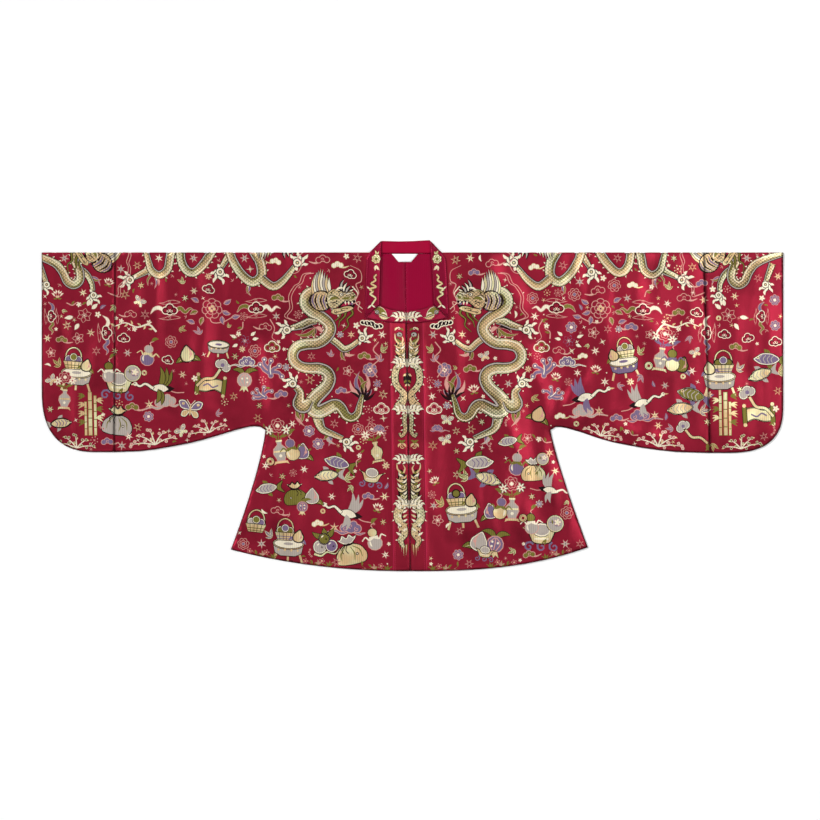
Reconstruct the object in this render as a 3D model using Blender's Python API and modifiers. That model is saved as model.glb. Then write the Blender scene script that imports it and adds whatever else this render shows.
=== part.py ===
"""A square-collar, front-opening hanfu jacket with wide rounded sleeves, laid out flat with its front up.

Metres. +X runs to the wearer's left, +Y from the hem to the collar and +Z up. The origin is the centre of
the jacket's box on the surface that it lies on. Each half of the body is cut in one piece with most of its
sleeve and folded over at the shoulder, so front and back are one wall; a further sleeve piece is seamed to
it. The square collar is made of five strips, and the back lining and a label show inside the neck.
"""

import math

import bpy
import numpy as np

# Cloth
CLOTH = 0.0012  # lined brocade
COLLAR_CLOTH = 0.0018  # interfaced double brocade of the collar
LINING_CLOTH = 0.0010
LABEL_CLOTH = 0.0010
SEAM_GAP = 0.0003  # between pieces, and between front and back where they are sewn together
OPENING_GAP = 0.0008  # between the two front edges

# The jacket as it lies
SPAN = 1.6308  # cuff to cuff
COLLAR_STAND = 0.0272  # the collar above the shoulder fold
LENGTH = 0.7008  # shoulder fold to the middle of the hem
TOP_Y = (LENGTH + COLLAR_STAND) / 2
SHOULDER_Y = TOP_Y - COLLAR_STAND
HEM_Y = -TOP_Y
CENTRE_X_AT_SHOULDER = -0.0155  # the front opening leans a little as it lies
CENTRE_X_AT_HEM = -0.0050
ARMPIT_Y = -0.0538
SLEEVE_CORNER_X = 0.1250  # half axis along X and power of the sleeve's rounded lower corner
SLEEVE_CORNER_POWER = 2.65
NECK_COLUMN_AT_HEM = 0.25  # where the column of points under the collar's edge meets the hem

# The wearer's right and left, each as it lies; x is measured from the origin's YZ plane
SIDES = {
    "right": {
        "sign": -1,
        "armpit_x": 0.3236,
        "seam_x_at_fold": 0.6538,
        "seam_x_at_bottom": 0.6560,
        "sleeve_bottom_y": -0.1022,
        "sleeve_corner_y": 0.1420,  # half axis along Y of the rounded corner
        "side_seam_power": 1.30,  # the side seam flares faster towards the hem
        "hem_corner_x": 0.3995,
        "hem_corner_y": -0.3165,
        "hem_power": 2.15,  # the hem's rise towards its corner
        "underarm": (  # distance out from the armpit, y
            (0.0000, -0.0538),
            (0.0090, -0.0468),
            (0.0210, -0.0452),
            (0.0350, -0.0463),
            (0.0640, -0.0533),
            (0.0990, -0.0641),
            (0.1340, -0.0744),
            (0.1690, -0.0831),
            (0.2040, -0.0897),
            (0.2400, -0.0960),
            (0.2750, -0.1003),
            (0.3324, -0.1022),
        ),
    },
    "left": {
        "sign": 1,
        "armpit_x": 0.3036,
        "seam_x_at_fold": 0.6406,
        "seam_x_at_bottom": 0.6543,
        "sleeve_bottom_y": -0.1041,
        "sleeve_corner_y": 0.1050,
        "side_seam_power": 1.18,
        "hem_corner_x": 0.3858,
        "hem_corner_y": -0.3118,
        "hem_power": 2.70,
        "underarm": (
            (0.0000, -0.0538),
            (0.0080, -0.0472),
            (0.0180, -0.0461),
            (0.0310, -0.0481),
            (0.0660, -0.0577),
            (0.1010, -0.0703),
            (0.1360, -0.0803),
            (0.1720, -0.0874),
            (0.2070, -0.0936),
            (0.2420, -0.0983),
            (0.2770, -0.1020),
            (0.3507, -0.1041),
        ),
    },
}

# Neck cut of the body, under the collar strips
NECK_CUT = {
    "right": {"x_at_fold": -0.0847, "x_at_bottom": -0.0957},
    "left": {"x_at_fold": 0.0572, "x_at_bottom": 0.0715},
}
NECK_CUT_FRONT_Y = 0.2004
NECK_CUT_BACK_Y = 0.3334

# Lie of the front over the back
FOLD_GAP = 0.0012  # inside the fold at the shoulder
FOLD_RADIUS = CLOTH + FOLD_GAP / 2
FOLD_CENTRE_Y = SHOULDER_Y - FOLD_RADIUS
LOFT = 0.0018  # air between front and back away from the seams
LOFT_AT_OPENING = 0.4  # share of the loft that is left at the front edges
EASE = 0.016  # distance over which the loft builds up from an edge
FOLDS = (  # x0, y0, x1, y1, half width, height
    (-0.256, 0.007, -0.322, -0.142, 0.018, 0.0052),
    (-0.331, -0.046, -0.353, 0.192, 0.020, 0.0046),
    (-0.318, -0.050, -0.199, 0.165, 0.017, 0.0036),
    (-0.221, 0.324, -0.313, 0.165, 0.022, 0.0034),
    (-0.434, 0.231, -0.490, 0.012, 0.028, 0.0040),
    (-0.555, 0.308, -0.610, 0.143, 0.030, 0.0044),
    (-0.687, 0.165, -0.709, 0.012, 0.020, 0.0050),
    (-0.775, 0.231, -0.786, 0.077, 0.020, 0.0036),
    (-0.511, -0.021, -0.643, -0.059, 0.017, 0.0030),
    (-0.247, -0.142, -0.285, -0.323, 0.026, 0.0048),
    (-0.137, -0.186, -0.148, -0.345, 0.026, 0.0038),
    (-0.148, 0.121, -0.137, -0.076, 0.032, 0.0024),
    (0.186, 0.012, 0.252, -0.164, 0.018, 0.0060),
    (0.291, -0.076, 0.320, -0.252, 0.017, 0.0052),
    (0.302, -0.043, 0.254, 0.132, 0.018, 0.0046),
    (0.316, -0.037, 0.390, 0.077, 0.017, 0.0050),
    (0.500, 0.231, 0.555, 0.066, 0.026, 0.0046),
    (0.621, 0.315, 0.606, 0.132, 0.026, 0.0040),
    (0.412, -0.043, 0.566, -0.081, 0.017, 0.0030),
    (0.709, 0.231, 0.694, 0.012, 0.024, 0.0046),
    (0.782, 0.253, 0.791, 0.099, 0.018, 0.0032),
    (0.170, 0.328, 0.269, 0.165, 0.022, 0.0034),
    (0.137, -0.186, 0.153, -0.340, 0.028, 0.0044),
    (0.236, -0.208, 0.269, -0.314, 0.022, 0.0040),
    (0.093, 0.165, 0.087, -0.054, 0.030, 0.0024),
    (0.412, 0.231, 0.445, 0.099, 0.030, 0.0036),
)
FOLD_END_HEIGHT = 0.35  # share of a fold's height at its two ends

# Cells of the panels
NECK_COLUMNS, CHEST_COLUMNS, SLEEVE_COLUMNS = 4, 12, 16
NECK_ROWS, ARMHOLE_ROWS, SKIRT_ROWS = 7, 12, 14
SLEEVE_COLUMN_POWER = 1.35  # columns are closer together by the armpit
CORNER_COLUMNS = 9
FOLD_STEPS = 6
OUTLINE_STEPS = 24

# Collar: the outer and inner edge of each side's strips
COLLAR_SIDE = {
    "right": (  # outer x, outer y, inner x, inner y
        (-0.1049, 0.1920, -0.0719, 0.2208),
        (-0.1046, 0.2330, -0.0714, 0.2400),
        (-0.1030, 0.2850, -0.0698, 0.2870),
        (-0.1015, 0.3232, -0.0686, 0.3240),
        (-0.0936, 0.3374, -0.0682, 0.3362),
        (-0.0868, 0.3445, -0.0679, 0.3430),
        (-0.0695, 0.3618, -0.0674, 0.3610),
    ),
    "left": (
        (0.0794, 0.1920, 0.0458, 0.2215),
        (0.0785, 0.2330, 0.0453, 0.2400),
        (0.0762, 0.2850, 0.0428, 0.2870),
        (0.0735, 0.3232, 0.0401, 0.3240),
        (0.0650, 0.3362, 0.0396, 0.3362),
        (0.0588, 0.3417, 0.0391, 0.3430),
        (0.0398, 0.3616, 0.0376, 0.3623),
    ),
}
COLLAR_SIDE_STEPS = 2  # sections for each row of the table
COLLAR_FRONT_STEPS = 8
COLLAR_CENTRE_INNER_Y = 0.2083
COLLAR_CENTRE_OUTER_Y = 0.1810
COLLAR_BOW = 0.0028  # how far the front strips' edges bow from straight
MITRE_STEP = 0.0004  # along Y between the side and front strips, across a slanted seam
COLLAR_SLOPE = (SHOULDER_Y + 0.001, SHOULDER_Y + 0.008)  # y where the strips come down past the fold
STAND_TOP = ((-0.0674, 0.3622), (-0.0300, 0.3612), (0.0000, 0.3618), (0.0374, TOP_Y))
STAND_END_Y = SHOULDER_Y + 0.0006
STAND_RIGHT_X, STAND_LEFT_X = -0.0905, 0.0612

LABEL = {"top_width": 0.0575, "bottom_width": 0.0280, "depth": 0.0176, "x": -0.0168}

COLOURS = {  # red, green, blue, roughness
    "brocade": (0.50, 0.02, 0.06, 0.45),
    "collar": (0.55, 0.02, 0.07, 0.45),
    "lining": (0.30, 0.01, 0.05, 0.60),
    "label": (0.85, 0.84, 0.82, 0.70),
}


def mix(a, b, share):
    return a + (b - a) * share


def centre_x(y):
    """The line of the front opening and of the centre back seam."""
    return mix(CENTRE_X_AT_SHOULDER, CENTRE_X_AT_HEM, (SHOULDER_Y - y) / LENGTH)


def seam_x(side, y):
    """The seam between the body and the further sleeve piece."""
    lean = (SHOULDER_Y - y) / (SHOULDER_Y - side["sleeve_bottom_y"])
    return side["sign"] * mix(side["seam_x_at_fold"], side["seam_x_at_bottom"], lean)


def underarm_y(side, x):
    out, y = zip(*side["underarm"])
    return float(np.interp(abs(x) - side["armpit_x"], out, y))


def corner_y(side, x):
    """The lower edge of the further sleeve piece, with its rounded corner at the cuff."""
    start_x = SPAN / 2 - SLEEVE_CORNER_X
    along = min(max((abs(x) - start_x) / SLEEVE_CORNER_X, 0.0), 1.0)
    rise = 1 - (1 - along**SLEEVE_CORNER_POWER) ** (1 / SLEEVE_CORNER_POWER)
    return side["sleeve_bottom_y"] + side["sleeve_corner_y"] * rise


def corner_columns():
    """x of the further sleeve piece's columns along its corner, closer together towards the cuff."""
    angles = np.linspace(math.pi / 2, 0, CORNER_COLUMNS + 1)
    start_x = SPAN / 2 - SLEEVE_CORNER_X
    return [start_x + SLEEVE_CORNER_X * math.cos(a) ** (2 / SLEEVE_CORNER_POWER) for a in angles]


def side_seam(side, share):
    """A point on the side seam, from the armpit at 0 to the hem's corner at 1."""
    x = mix(side["armpit_x"], side["hem_corner_x"], share ** side["side_seam_power"])
    return side["sign"] * x, mix(ARMPIT_Y, side["hem_corner_y"], share)


def hem_point(side, share):
    """A point on the hem, from the front opening at 0 to the side seam at 1."""
    x = mix(CENTRE_X_AT_HEM, side["sign"] * side["hem_corner_x"], share)
    return x, mix(HEM_Y, side["hem_corner_y"], share ** side["hem_power"])


def edge_segments():
    """The jacket's edge, other than the shoulder fold, as starts and ends of straight pieces."""
    starts, ends = [], []
    shares = np.linspace(0, 1, OUTLINE_STEPS)
    for side in SIDES.values():
        sign = side["sign"]
        line = [hem_point(side, share) for share in shares]
        line += [side_seam(side, share) for share in shares[::-1]]
        reach = side["seam_x_at_bottom"] - side["armpit_x"]
        under = [sign * (side["armpit_x"] + reach * share) for share in shares]
        line += [(x, underarm_y(side, x)) for x in under]
        line += [(sign * x, corner_y(side, x)) for x in corner_columns()]
        line.append((sign * SPAN / 2, SHOULDER_Y))
        starts += line[:-1]
        ends += line[1:]
    return np.array(starts), np.array(ends)


EDGE_STARTS, EDGE_ENDS = edge_segments()


def nearest(x, y, starts, ends):
    """Distance from a point to each straight piece, and how far along the piece its nearest point is."""
    along = ends - starts
    length = np.maximum((along**2).sum(1), 1e-12)
    share = np.clip(((np.array((x, y)) - starts) * along).sum(1) / length, 0, 1)
    return np.linalg.norm((x, y) - starts - share[:, None] * along, axis=1), share


def folds_height(x, y):
    """Height of the soft folds, each strongest half way along its line."""
    x0, y0, x1, y1, width, height = np.array(FOLDS).T
    away, share = nearest(x, y, np.stack((x0, y0), 1), np.stack((x1, y1), 1))
    swell = mix(FOLD_END_HEIGHT, 1.0, np.sin(math.pi * share))
    return float((height * swell * np.exp(-((away / width) ** 2))).sum())


def front_top(x, y):
    """Height of the front's outer face above the surface that the jacket lies on."""
    from_fold = max(FOLD_CENTRE_Y - y, 0.0)
    from_edge = min(nearest(x, y, EDGE_STARTS, EDGE_ENDS)[0].min(), from_fold)
    at_opening = (1 - LOFT_AT_OPENING) * math.exp(-abs(x - centre_x(y)) / EASE)
    puff = 1 - math.exp(-from_edge / EASE)
    at_fold = (FOLD_GAP - SEAM_GAP) * math.exp(-from_fold / EASE)
    loft = LOFT * (1 - at_opening) + folds_height(x, y)
    return 2 * CLOTH + SEAM_GAP + at_fold + puff * loft


def over_shoulder(columns, front_rows, back_rows):
    """Rows of points that run up the front, over the shoulder fold and down the back. front_rows and
    back_rows give the flat place of a column in each row, from the hem up and from the fold down."""
    rows = [[(*at(c), front_top(*at(c))) for c in columns] for at in front_rows]
    for step in range(1, FOLD_STEPS):
        angle = math.pi * step / FOLD_STEPS
        y = FOLD_CENTRE_Y + FOLD_RADIUS * math.sin(angle)
        z = FOLD_RADIUS * (1 + math.cos(angle))
        rows.append([(front_rows[-1](c)[0], y, z) for c in columns])
    rows += [[(*at(c), 0.0) for c in columns] for at in back_rows]
    return rows


def add_grid(points, faces, rows, skip=()):
    """Adds the cells of a grid of points, apart from those in skip, each wound to face outwards."""
    first = len(points)
    width = len(rows[0])
    for row in rows:
        points += row
    for r in range(len(rows) - 1):
        for c in range(width - 1):
            if (r, c) not in skip:
                corner = first + r * width + c
                faces.append((corner, corner + 1, corner + width + 1, corner + width))


def cloth_object(name, points, faces, thickness, material, flip=False):
    """A closed wall of even thickness inside an open surface whose shared edges are merged."""
    used = sorted({index for face in faces for index in face})
    place = {}
    renumbered = {}
    kept = []
    for index in used:
        key = tuple(round(value, 7) for value in points[index])
        if key not in place:
            place[key] = len(kept)
            kept.append(points[index])
        renumbered[index] = place[key]
    mesh = bpy.data.meshes.new(name)
    order = -1 if flip else 1
    mesh.from_pydata(kept, [], [[renumbered[i] for i in face][::order] for face in faces])
    mesh.update()
    made = bpy.data.objects.new(name, mesh)
    mesh.materials.append(material)
    mesh.shade_smooth()
    wall = made.modifiers.new("wall", "SOLIDIFY")
    wall.thickness = thickness
    wall.offset = -1.0
    wall.use_even_offset = True
    return made


def plate_object(name, outline, bottom_z, thickness, material):
    """A flat piece of cloth cut to an outline."""
    curve = bpy.data.curves.new(name, "CURVE")
    curve.dimensions = "2D"
    curve.fill_mode = "BOTH"
    curve.extrude = thickness / 2
    spline = curve.splines.new("POLY")
    spline.points.add(len(outline) - 1)
    for point, (x, y) in zip(spline.points, outline):
        point.co = (x, y, 0.0, 1.0)
    spline.use_cyclic_u = True
    curve.materials.append(material)
    made = bpy.data.objects.new(name, curve)
    made.location.z = bottom_z + thickness / 2
    return made


def neck_cut_x(name, y):
    cut = NECK_CUT[name]
    down = (FOLD_CENTRE_Y - y) / (FOLD_CENTRE_Y - NECK_CUT_FRONT_Y)
    return mix(cut["x_at_fold"], cut["x_at_bottom"], min(max(down, 0.0), 1.0))


def torso_place(name, side, column, y_share, part, edge_gap):
    """Where a torso column crosses a row. column is 0 at the opening, 1 under the collar's edge and 2 at
    the armhole or side seam; part is 'yoke' from the fold to the armpit, 'skirt' from there to the hem."""
    sign = side["sign"]
    if part == "yoke":
        y = mix(FOLD_CENTRE_Y, ARMPIT_Y, y_share)
        outer_x = sign * side["armpit_x"]
    else:
        y = mix(ARMPIT_Y, HEM_Y, y_share)
        outer_x = side_seam(side, y_share)[0]
    inner_x = centre_x(y) + sign * edge_gap / 2
    below_cut = max(NECK_CUT_FRONT_Y - y, 0.0) / (NECK_CUT_FRONT_Y - HEM_Y)
    neck_x = mix(neck_cut_x(name, y), mix(inner_x, outer_x, NECK_COLUMN_AT_HEM), below_cut)
    x = mix(inner_x, neck_x, column) if column <= 1 else mix(neck_x, outer_x, column - 1)
    if part == "skirt":
        across = (x - inner_x) / (outer_x - inner_x)
        y = mix(ARMPIT_Y, hem_point(side, across)[1], y_share)
    return x, y


def sleeve_place(side, column, share):
    """Where a column of the body's own sleeve crosses a row, from the armhole at 0 to the seam at 1."""
    sign = side["sign"]
    seam_y = mix(FOLD_CENTRE_Y, side["sleeve_bottom_y"], share)
    x = mix(sign * side["armpit_x"], seam_x(side, seam_y) - sign * SEAM_GAP / 2, column)
    return x, mix(FOLD_CENTRE_Y, underarm_y(side, x), share)


def yoke_shares():
    """Row places from the fold at 0 to the armpit at 1, with a row at the bottom of the neck cut."""
    cut = (FOLD_CENTRE_Y - NECK_CUT_FRONT_Y) / (FOLD_CENTRE_Y - ARMPIT_Y)
    upper = np.linspace(0, cut, NECK_ROWS + 1)
    return [*upper, *np.linspace(cut, 1, ARMHOLE_ROWS + 1)[1:]]


def make_body(name, side, material):
    """Half of the body with most of its sleeve, in one piece from the front hem to the back hem."""
    columns = [*np.linspace(0, 1, NECK_COLUMNS + 1), *np.linspace(1, 2, CHEST_COLUMNS + 1)[1:]]
    skirt = np.linspace(0, 1, SKIRT_ROWS + 1)[1:]
    yoke = yoke_shares()
    back_cut = (FOLD_CENTRE_Y - NECK_CUT_BACK_Y) / (FOLD_CENTRE_Y - ARMPIT_Y)
    back_yoke = [0.0, back_cut, *yoke[2:]]

    def torso_row(share, part, gap):
        return lambda column: torso_place(name, side, column, share, part, gap)

    def sleeve_row(share):
        return lambda column: sleeve_place(side, column, share)

    front = [torso_row(share, "skirt", OPENING_GAP) for share in skirt[::-1]]
    front += [torso_row(share, "yoke", OPENING_GAP) for share in yoke[::-1]]
    back = [torso_row(share, "yoke", SEAM_GAP) for share in back_yoke]
    back += [torso_row(share, "skirt", SEAM_GAP) for share in skirt]
    first_cut_row = len(skirt) + ARMHOLE_ROWS
    last_cut_row = len(front) + FOLD_STEPS - 1
    cut = {(r, c) for r in range(first_cut_row, last_cut_row + 1) for c in range(NECK_COLUMNS)}
    points, faces = [], []
    add_grid(points, faces, over_shoulder(columns, front, back), cut)

    sleeve_columns = np.linspace(0, 1, SLEEVE_COLUMNS + 1) ** SLEEVE_COLUMN_POWER
    sleeve_front = [sleeve_row(share) for share in yoke[::-1]]
    sleeve_back = [sleeve_row(share) for share in back_yoke]
    add_grid(points, faces, over_shoulder(sleeve_columns, sleeve_front, sleeve_back))
    flip = side["sign"] < 0
    return cloth_object(f"body_{name}", points, faces, CLOTH, material, flip)


def make_sleeve(name, side, material):
    """The further sleeve piece, folded at the top and rounded at its lower corner, open at the cuff."""
    sign = side["sign"]
    bottom_y = side["sleeve_bottom_y"]

    def row(share):
        def at(column):
            if column == "seam":
                y = mix(FOLD_CENTRE_Y, bottom_y, share)
                return seam_x(side, y) + sign * SEAM_GAP / 2, y
            return sign * column, mix(FOLD_CENTRE_Y, corner_y(side, column), share)

        return at

    shares = yoke_shares()
    columns = ["seam", *corner_columns()]
    rows = over_shoulder(columns, [row(s) for s in shares[::-1]], [row(s) for s in shares])
    points, faces = [], []
    add_grid(points, faces, rows)
    return cloth_object(f"sleeve_{name}", points, faces, CLOTH, material, sign < 0)


def collar_base(x, y):
    """Height of the underside of a collar strip: on the front, then sloping down past the fold."""
    on_front = front_top(x, min(y, FOLD_CENTRE_Y))
    return float(np.interp(y, COLLAR_SLOPE, (on_front, COLLAR_CLOTH))) + SEAM_GAP


def collar_strip(name, sections, material, flip):
    """A strip of the collar from the two ends of each of its sections."""
    rows = []
    for outer, inner in sections:
        middle = (np.array(outer) + np.array(inner)) / 2
        rows.append([(x, y, collar_base(x, y) + COLLAR_CLOTH) for x, y in (outer, middle, inner)])
    points, faces = [], []
    add_grid(points, faces, rows)
    return cloth_object(name, points, faces, COLLAR_CLOTH, material, flip)


def make_collar_side(name, side, material):
    """The strip from the mitre up over the shoulder fold to the top of the back strip."""
    table = np.array(COLLAR_SIDE[name])
    table[0, [1, 3]] += MITRE_STEP
    steps = np.linspace(0, len(table) - 1, COLLAR_SIDE_STEPS * (len(table) - 1) + 1)
    columns = [np.interp(steps, range(len(table)), column) for column in table.T]
    sections = [(row[:2], row[2:]) for row in np.array(columns).T]
    return collar_strip(f"collar_side_{name}", sections, material, side["sign"] > 0)


def make_collar_front(name, side, material):
    """The strip across the bottom of the square neck, from the mitre to the front opening."""
    sign = side["sign"]
    outer_x, outer_y, inner_x, inner_y = COLLAR_SIDE[name][0]
    sections = []
    for share in np.linspace(0, 1, COLLAR_FRONT_STEPS + 1):
        bow = -COLLAR_BOW * math.sin(math.pi * share)
        inner_end = centre_x(COLLAR_CENTRE_INNER_Y) + sign * OPENING_GAP / 2
        outer_end = centre_x(COLLAR_CENTRE_OUTER_Y) + sign * OPENING_GAP / 2
        inner = (mix(inner_x, inner_end, share), mix(inner_y, COLLAR_CENTRE_INNER_Y, share) + bow)
        outer = (mix(outer_x, outer_end, share), mix(outer_y, COLLAR_CENTRE_OUTER_Y, share) + bow)
        sections.append((outer, inner))
    return collar_strip(f"collar_front_{name}", sections, material, sign < 0)


def make_collar_back(material):
    """The strip that stands up behind the neck and lies flat here, with its inner face up."""
    low_y = NECK_CUT_BACK_Y + SEAM_GAP
    right_x = NECK_CUT["right"]["x_at_fold"] + SEAM_GAP
    left_x = NECK_CUT["left"]["x_at_fold"] - SEAM_GAP
    outline = [
        (right_x, low_y),
        (left_x, low_y),
        (left_x, STAND_END_Y),
        (STAND_LEFT_X, STAND_END_Y),
        *STAND_TOP[::-1],
        (STAND_RIGHT_X, STAND_END_Y),
        (right_x, STAND_END_Y),
    ]
    return plate_object("collar_back", outline, 0.0, COLLAR_CLOTH, material)


def make_lining(name, side, material):
    """Half of the back lining where it shows through the neck, ending under the collar strips."""
    sign = side["sign"]
    inside = sign * (CLOTH + SEAM_GAP)
    low_y = NECK_CUT_FRONT_Y + CLOTH + SEAM_GAP
    high_y = NECK_CUT_BACK_Y
    half_gap = sign * SEAM_GAP / 2
    outline = [
        (centre_x(low_y) + half_gap, low_y),
        (neck_cut_x(name, low_y) - inside, low_y),
        (neck_cut_x(name, high_y) - inside, high_y),
        (centre_x(high_y) + half_gap, high_y),
    ]
    bottom = CLOTH + SEAM_GAP
    return plate_object(f"lining_{name}", outline, bottom, LINING_CLOTH, material)


def make_label(material):
    """The woven neck label, with its upper edge at the collar's seam."""
    top_y = NECK_CUT_BACK_Y
    bottom_y = top_y - LABEL["depth"]
    outline = [
        (LABEL["x"] - LABEL["top_width"] / 2, top_y),
        (LABEL["x"] - LABEL["bottom_width"] / 2, bottom_y),
        (LABEL["x"] + LABEL["bottom_width"] / 2, bottom_y),
        (LABEL["x"] + LABEL["top_width"] / 2, top_y),
    ]
    bottom = CLOTH + LINING_CLOTH + 2 * SEAM_GAP
    return plate_object("label", outline, bottom, LABEL_CLOTH, material)


def make_material(name):
    red, green, blue, roughness = COLOURS[name]
    material = bpy.data.materials.new(name)
    material.use_nodes = True
    shader = material.node_tree.nodes["Principled BSDF"]
    shader.inputs["Base Color"].default_value = (red, green, blue, 1.0)
    shader.inputs["Roughness"].default_value = roughness
    shader.inputs["Metallic"].default_value = 0.0
    material.diffuse_color = (red, green, blue, 1.0)
    return material


def main():
    for old in list(bpy.data.objects):
        bpy.data.objects.remove(old)
    jacket = bpy.data.collections.new("hanfu_jacket")
    bpy.context.scene.collection.children.link(jacket)
    material = {name: make_material(name) for name in COLOURS}
    pieces = [make_collar_back(material["collar"]), make_label(material["label"])]
    for name, side in SIDES.items():
        pieces.append(make_body(name, side, material["brocade"]))
        pieces.append(make_sleeve(name, side, material["brocade"]))
        pieces.append(make_collar_side(name, side, material["collar"]))
        pieces.append(make_collar_front(name, side, material["collar"]))
        pieces.append(make_lining(name, side, material["lining"]))
    for piece in pieces:
        jacket.objects.link(piece)


main()
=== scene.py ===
"""Looks of a square-collar hanfu jacket in crimson figured brocade, laid out flat with its front up.

Each cloth piece is one closed wall. Its outer face is a planar map: the outlines of all woven figures and of the
piece itself are cut into one mesh, so a figure is a patch of other threads in the cloth, as it is in brocade.
Drawings are lists of (thread, closed line). Lines are complex numbers, x + iy in millimetres, in the jacket's
frame; above the shoulder fold they run on over it and down the back, as on the piece before it is folded.
"""

import cmath
import math

import bpy
import numpy as np
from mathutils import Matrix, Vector
from mathutils.geometry import delaunay_2d_cdt


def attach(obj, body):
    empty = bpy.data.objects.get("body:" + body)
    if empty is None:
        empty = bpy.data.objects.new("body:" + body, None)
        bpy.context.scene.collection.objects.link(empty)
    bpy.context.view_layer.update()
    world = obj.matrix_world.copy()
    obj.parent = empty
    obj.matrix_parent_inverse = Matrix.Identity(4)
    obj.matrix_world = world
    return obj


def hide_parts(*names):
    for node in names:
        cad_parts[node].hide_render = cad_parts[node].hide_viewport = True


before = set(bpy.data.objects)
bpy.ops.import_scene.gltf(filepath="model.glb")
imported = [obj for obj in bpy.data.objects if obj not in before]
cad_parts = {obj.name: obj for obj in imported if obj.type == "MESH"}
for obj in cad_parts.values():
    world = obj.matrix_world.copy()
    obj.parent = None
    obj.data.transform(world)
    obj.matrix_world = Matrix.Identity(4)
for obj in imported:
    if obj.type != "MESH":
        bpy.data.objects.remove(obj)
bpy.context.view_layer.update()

MM = 0.001
CLOSEST = 0.02  # points nearer to each other than this are one
TINY = 1e-9  # keeps a length that is divided by above zero
THINNEST = 1e-6  # twice the area of the smallest triangle that is kept
CHUNK, BAND = 4000, 400  # how many points are worked on at a time
FOLD_ROWS = 5
SCALE_PERIOD = 14.0  # twice the width of a dragon's scale
LINE_PERIOD = 4.2  # of the vertical lines in figured threads
EDGE_SHADE = 5.5  # how far in from its edge a piece is painted with shade, darker towards the edge
OPENING_SHADE = 0.45  # share of a plain edge's light that the front opening's edges keep
SLACK = 0.022  # height in metres of the slow, upright swells that only the light shows


# ---------------------------------------------------------------- sizes of the jacket, as its solids have them

CLOTH, COLLAR_CLOTH, LINING_CLOTH, LABEL_CLOTH = 1.2, 1.8, 1.0, 1.0
GAP, OPENING_GAP = 0.3, 0.8
SPAN, LENGTH, TOP_Y = 1630.8, 700.8, 364.0
SHOULDER_Y, HEM_Y = TOP_Y - 27.2, -TOP_Y
FOLD_GAP = 1.2
FOLD_R = CLOTH + FOLD_GAP / 2  # outer radius of the shoulder fold
FOLD_Y = SHOULDER_Y - FOLD_R
BACK_V = 2 * FOLD_Y + math.pi * FOLD_R  # a point y on the back lies at BACK_V - y before folding
CENTRE_X_AT_SHOULDER, CENTRE_X_AT_HEM = -15.5, -5.0
ARMPIT_Y = -53.8
CORNER_X, CORNER_POWER = 125.0, 2.65
NECK_CUT_FRONT_Y, NECK_CUT_BACK_Y = 200.4, 333.4

SIDES = {
    "right": {
        "sign": -1,
        "armpit_x": 323.6,
        "seam_x_at_fold": 653.8,
        "seam_x_at_bottom": 656.0,
        "sleeve_bottom_y": -102.2,
        "corner_y": 142.0,
        "side_seam_power": 1.30,
        "hem_corner_x": 399.5,
        "hem_corner_y": -316.5,
        "hem_power": 2.15,
        "neck_x_at_fold": -84.7,
        "neck_x_at_bottom": -95.7,
        "underarm": (  # distance out from the armpit, y
            (0, -53.8), (9, -46.8), (21, -45.2), (35, -46.3), (64, -53.3), (99, -64.1),
            (134, -74.4), (169, -83.1), (204, -89.7), (240, -96.0), (275, -100.3), (332.4, -102.2),
        ),
    },
    "left": {
        "sign": 1,
        "armpit_x": 303.6,
        "seam_x_at_fold": 640.6,
        "seam_x_at_bottom": 654.3,
        "sleeve_bottom_y": -104.1,
        "corner_y": 105.0,
        "side_seam_power": 1.18,
        "hem_corner_x": 385.8,
        "hem_corner_y": -311.8,
        "hem_power": 2.70,
        "neck_x_at_fold": 57.2,
        "neck_x_at_bottom": 71.5,
        "underarm": (
            (0, -53.8), (8, -47.2), (18, -46.1), (31, -48.1), (66, -57.7), (101, -70.3),
            (136, -80.3), (172, -87.4), (207, -93.6), (242, -98.3), (277, -102.0), (350.7, -104.1),
        ),
    },
}

LOFT, LOFT_AT_OPENING, EASE = 1.8, 0.4, 16.0
FOLD_END_HEIGHT = 0.35
FOLDS = (  # the broad folds that the solids have, each as x0, y0, x1, y1, half width, height
    (-256, 7, -322, -142, 18, 5.2), (-331, -46, -353, 192, 20, 4.6),
    (-318, -50, -199, 165, 17, 3.6), (-221, 324, -313, 165, 22, 3.4),
    (-434, 231, -490, 12, 28, 4.0), (-555, 308, -610, 143, 30, 4.4), (-687, 165, -709, 12, 20, 5.0),
    (-775, 231, -786, 77, 20, 3.6), (-511, -21, -643, -59, 17, 3.0),
    (-247, -142, -285, -323, 26, 4.8), (-137, -186, -148, -345, 26, 3.8),
    (-148, 121, -137, -76, 32, 2.4), (186, 12, 252, -164, 18, 6.0), (291, -76, 320, -252, 17, 5.2),
    (302, -43, 254, 132, 18, 4.6), (316, -37, 390, 77, 17, 5.0), (500, 231, 555, 66, 26, 4.6),
    (621, 315, 606, 132, 26, 4.0), (412, -43, 566, -81, 17, 3.0), (709, 231, 694, 12, 24, 4.6),
    (782, 253, 791, 99, 18, 3.2), (170, 328, 269, 165, 22, 3.4), (137, -186, 153, -340, 28, 4.4),
    (236, -208, 269, -314, 22, 4.0), (93, 165, 87, -54, 30, 2.4), (412, 231, 445, 99, 30, 3.6),
)
PLACKET = 36.0  # how far out from the opening its band's welt runs
WELT_WIDTH, WELT_HEIGHT = 2.6, 0.8
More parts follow.
